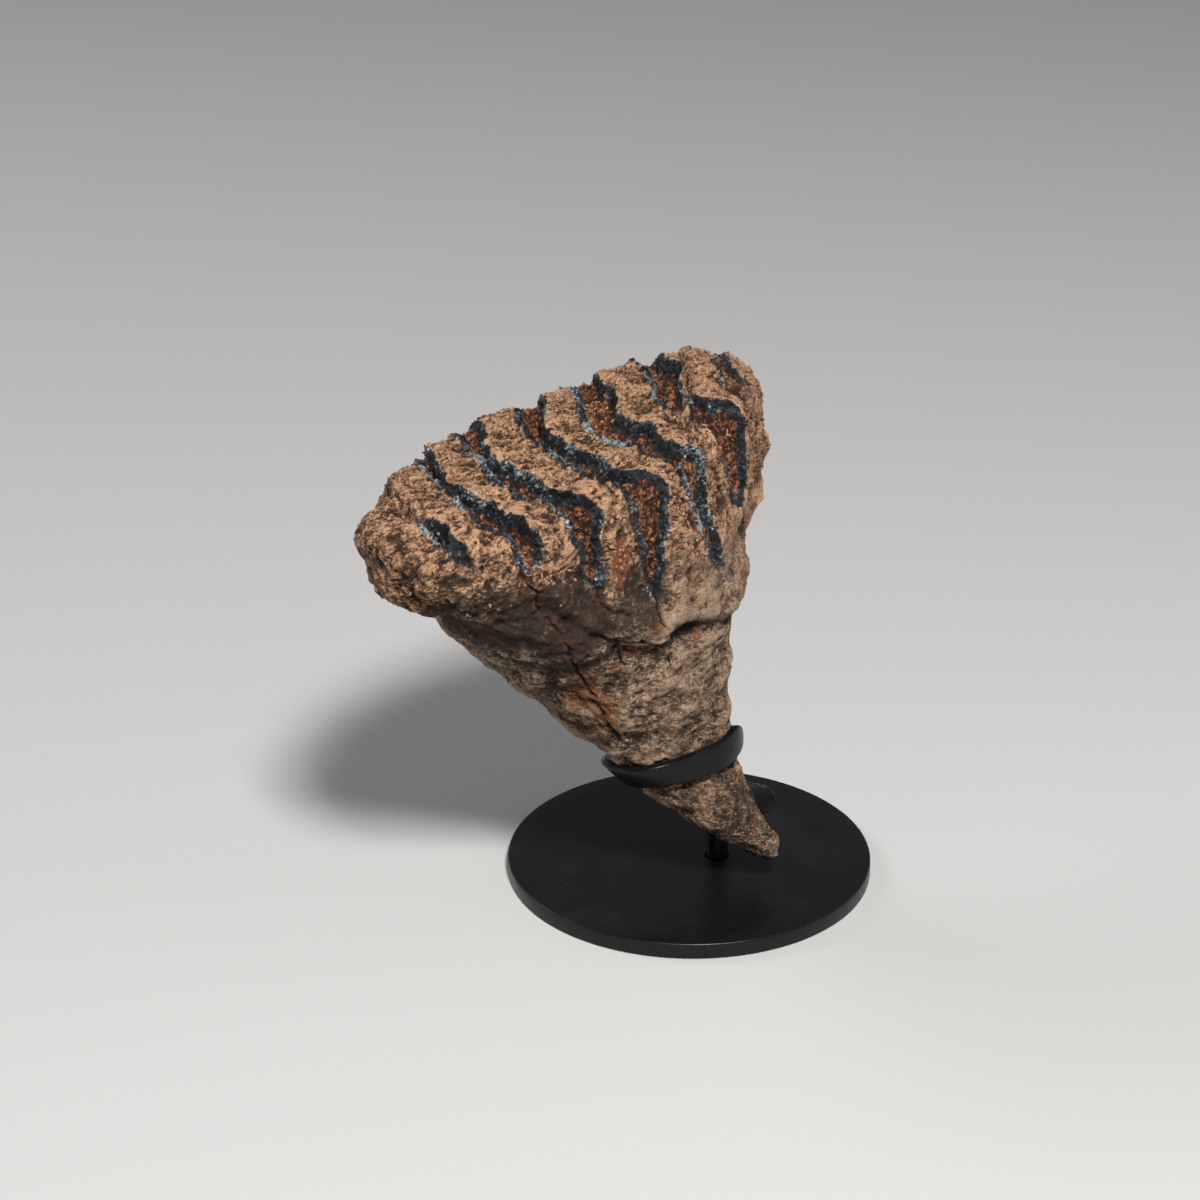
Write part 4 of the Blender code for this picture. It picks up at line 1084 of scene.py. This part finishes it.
studio = {
    "floorHalf": 4.0, "floorColour": (0.5, 0.5, 0.5, 1), "floorRoughness": 0.9,
    "skyColour": (0.9, 0.93, 1.0, 1), "skyStrength": 0.16,
    "aim": (-0.02, 0, 0.06),
    # place in m, width and height in m, power in W, colour
    "lamps": {"key": ((-0.28, -0.55, 0.75), (0.14, 0.14), 13.0, (1, 0.97, 0.93)),
              "fill": ((0.7, -0.5, 0.4), (0.6, 0.6), 1.0, (0.93, 0.96, 1)),
              "rim": ((-0.45, 0.75, 0.65), (0.5, 0.3), 3.0, (1, 1, 1))},
    # place in m, turn in degrees, lens and film width in mm
    "cameraPlace": (-0.36185, -0.4352, 0.3158), "cameraTurn": (65.4, 0, -38),
    "lens": 100, "film": 36,
}


def lightPanel(name, place, size, power, colour):
    data = bpy.data.lights.new(name, "AREA")
    data.shape = "RECTANGLE"
    data.size, data.size_y = size
    data.energy = power
    data.color = colour
    lamp = bpy.data.objects.new(name, data)
    lamp.location = place
    towards = Vector(studio["aim"]) - Vector(place)
    lamp.rotation_euler = towards.to_track_quat("-Z", "Y").to_euler()
    scene.collection.objects.link(lamp)


def makeStage():
    half = studio["floorHalf"]
    mesh = bpy.data.meshes.new("floor")
    mesh.from_pydata([(-half, -half, 0), (half, -half, 0), (half, half, 0), (-half, half, 0)], [],
                     [(0, 1, 2, 3)])
    floor = bpy.data.objects.new("floor", mesh)
    scene.collection.objects.link(floor)
    material, _, shader = newMaterial("paleFloor")
    shader.inputs["Base Color"].default_value = studio["floorColour"]
    shader.inputs["Roughness"].default_value = studio["floorRoughness"]
    mesh.materials.append(material)
    world = bpy.data.worlds.new("studio")
    world.use_nodes = True
    sky = world.node_tree.nodes["Background"]
    sky.inputs[0].default_value = studio["skyColour"]
    sky.inputs[1].default_value = studio["skyStrength"]
    scene.world = world
    scene.view_settings.view_transform = "Standard"
    for name, lamp in studio["lamps"].items():
        lightPanel(name, *lamp)


def makeCamera():
    data = bpy.data.cameras.new("camera")
    data.lens, data.sensor_width = studio["lens"], studio["film"]
    camera = bpy.data.objects.new("camera", data)
    camera.location = studio["cameraPlace"]
    camera.rotation_euler = [math.radians(angle) for angle in studio["cameraTurn"]]
    scene.collection.objects.link(camera)
    scene.camera = camera


print("tooth")
fineTooth = makeTooth()
print("tooth faces", len(fineTooth.data.polygons))
grain = mineralGrain()
fineTooth.data.materials.append(fossilTooth(grain))
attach(fineTooth, "root")
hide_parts("tooth")

print("chips and crumbs")
for name, bit in chips.items():
    scatterBits(name, fineTooth, bit, bitMaterial(grain, bit))

print("stand")
coating = coatingGrain()
fineBase = makeBase()
fineBase.data.materials.append(blackCoating("blackCoatedDisc", coating, coatings["disc"]))
fineStrip = makeStrip(nodes["tooth"], blackCoating("blackCoatedStrip", coating, coatings["strip"]))
finePost = makePost(fineStrip)
finePost.data.materials.append(blackCoating("blackCoatedRod", coating, coatings["rod"]))
for piece, node in ((fineBase, "base_disc"), (fineStrip, "cradle_strip"), (finePost, "post")):
    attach(piece, "root")
    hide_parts(node)

print("stage")
makeStage()
makeCamera()
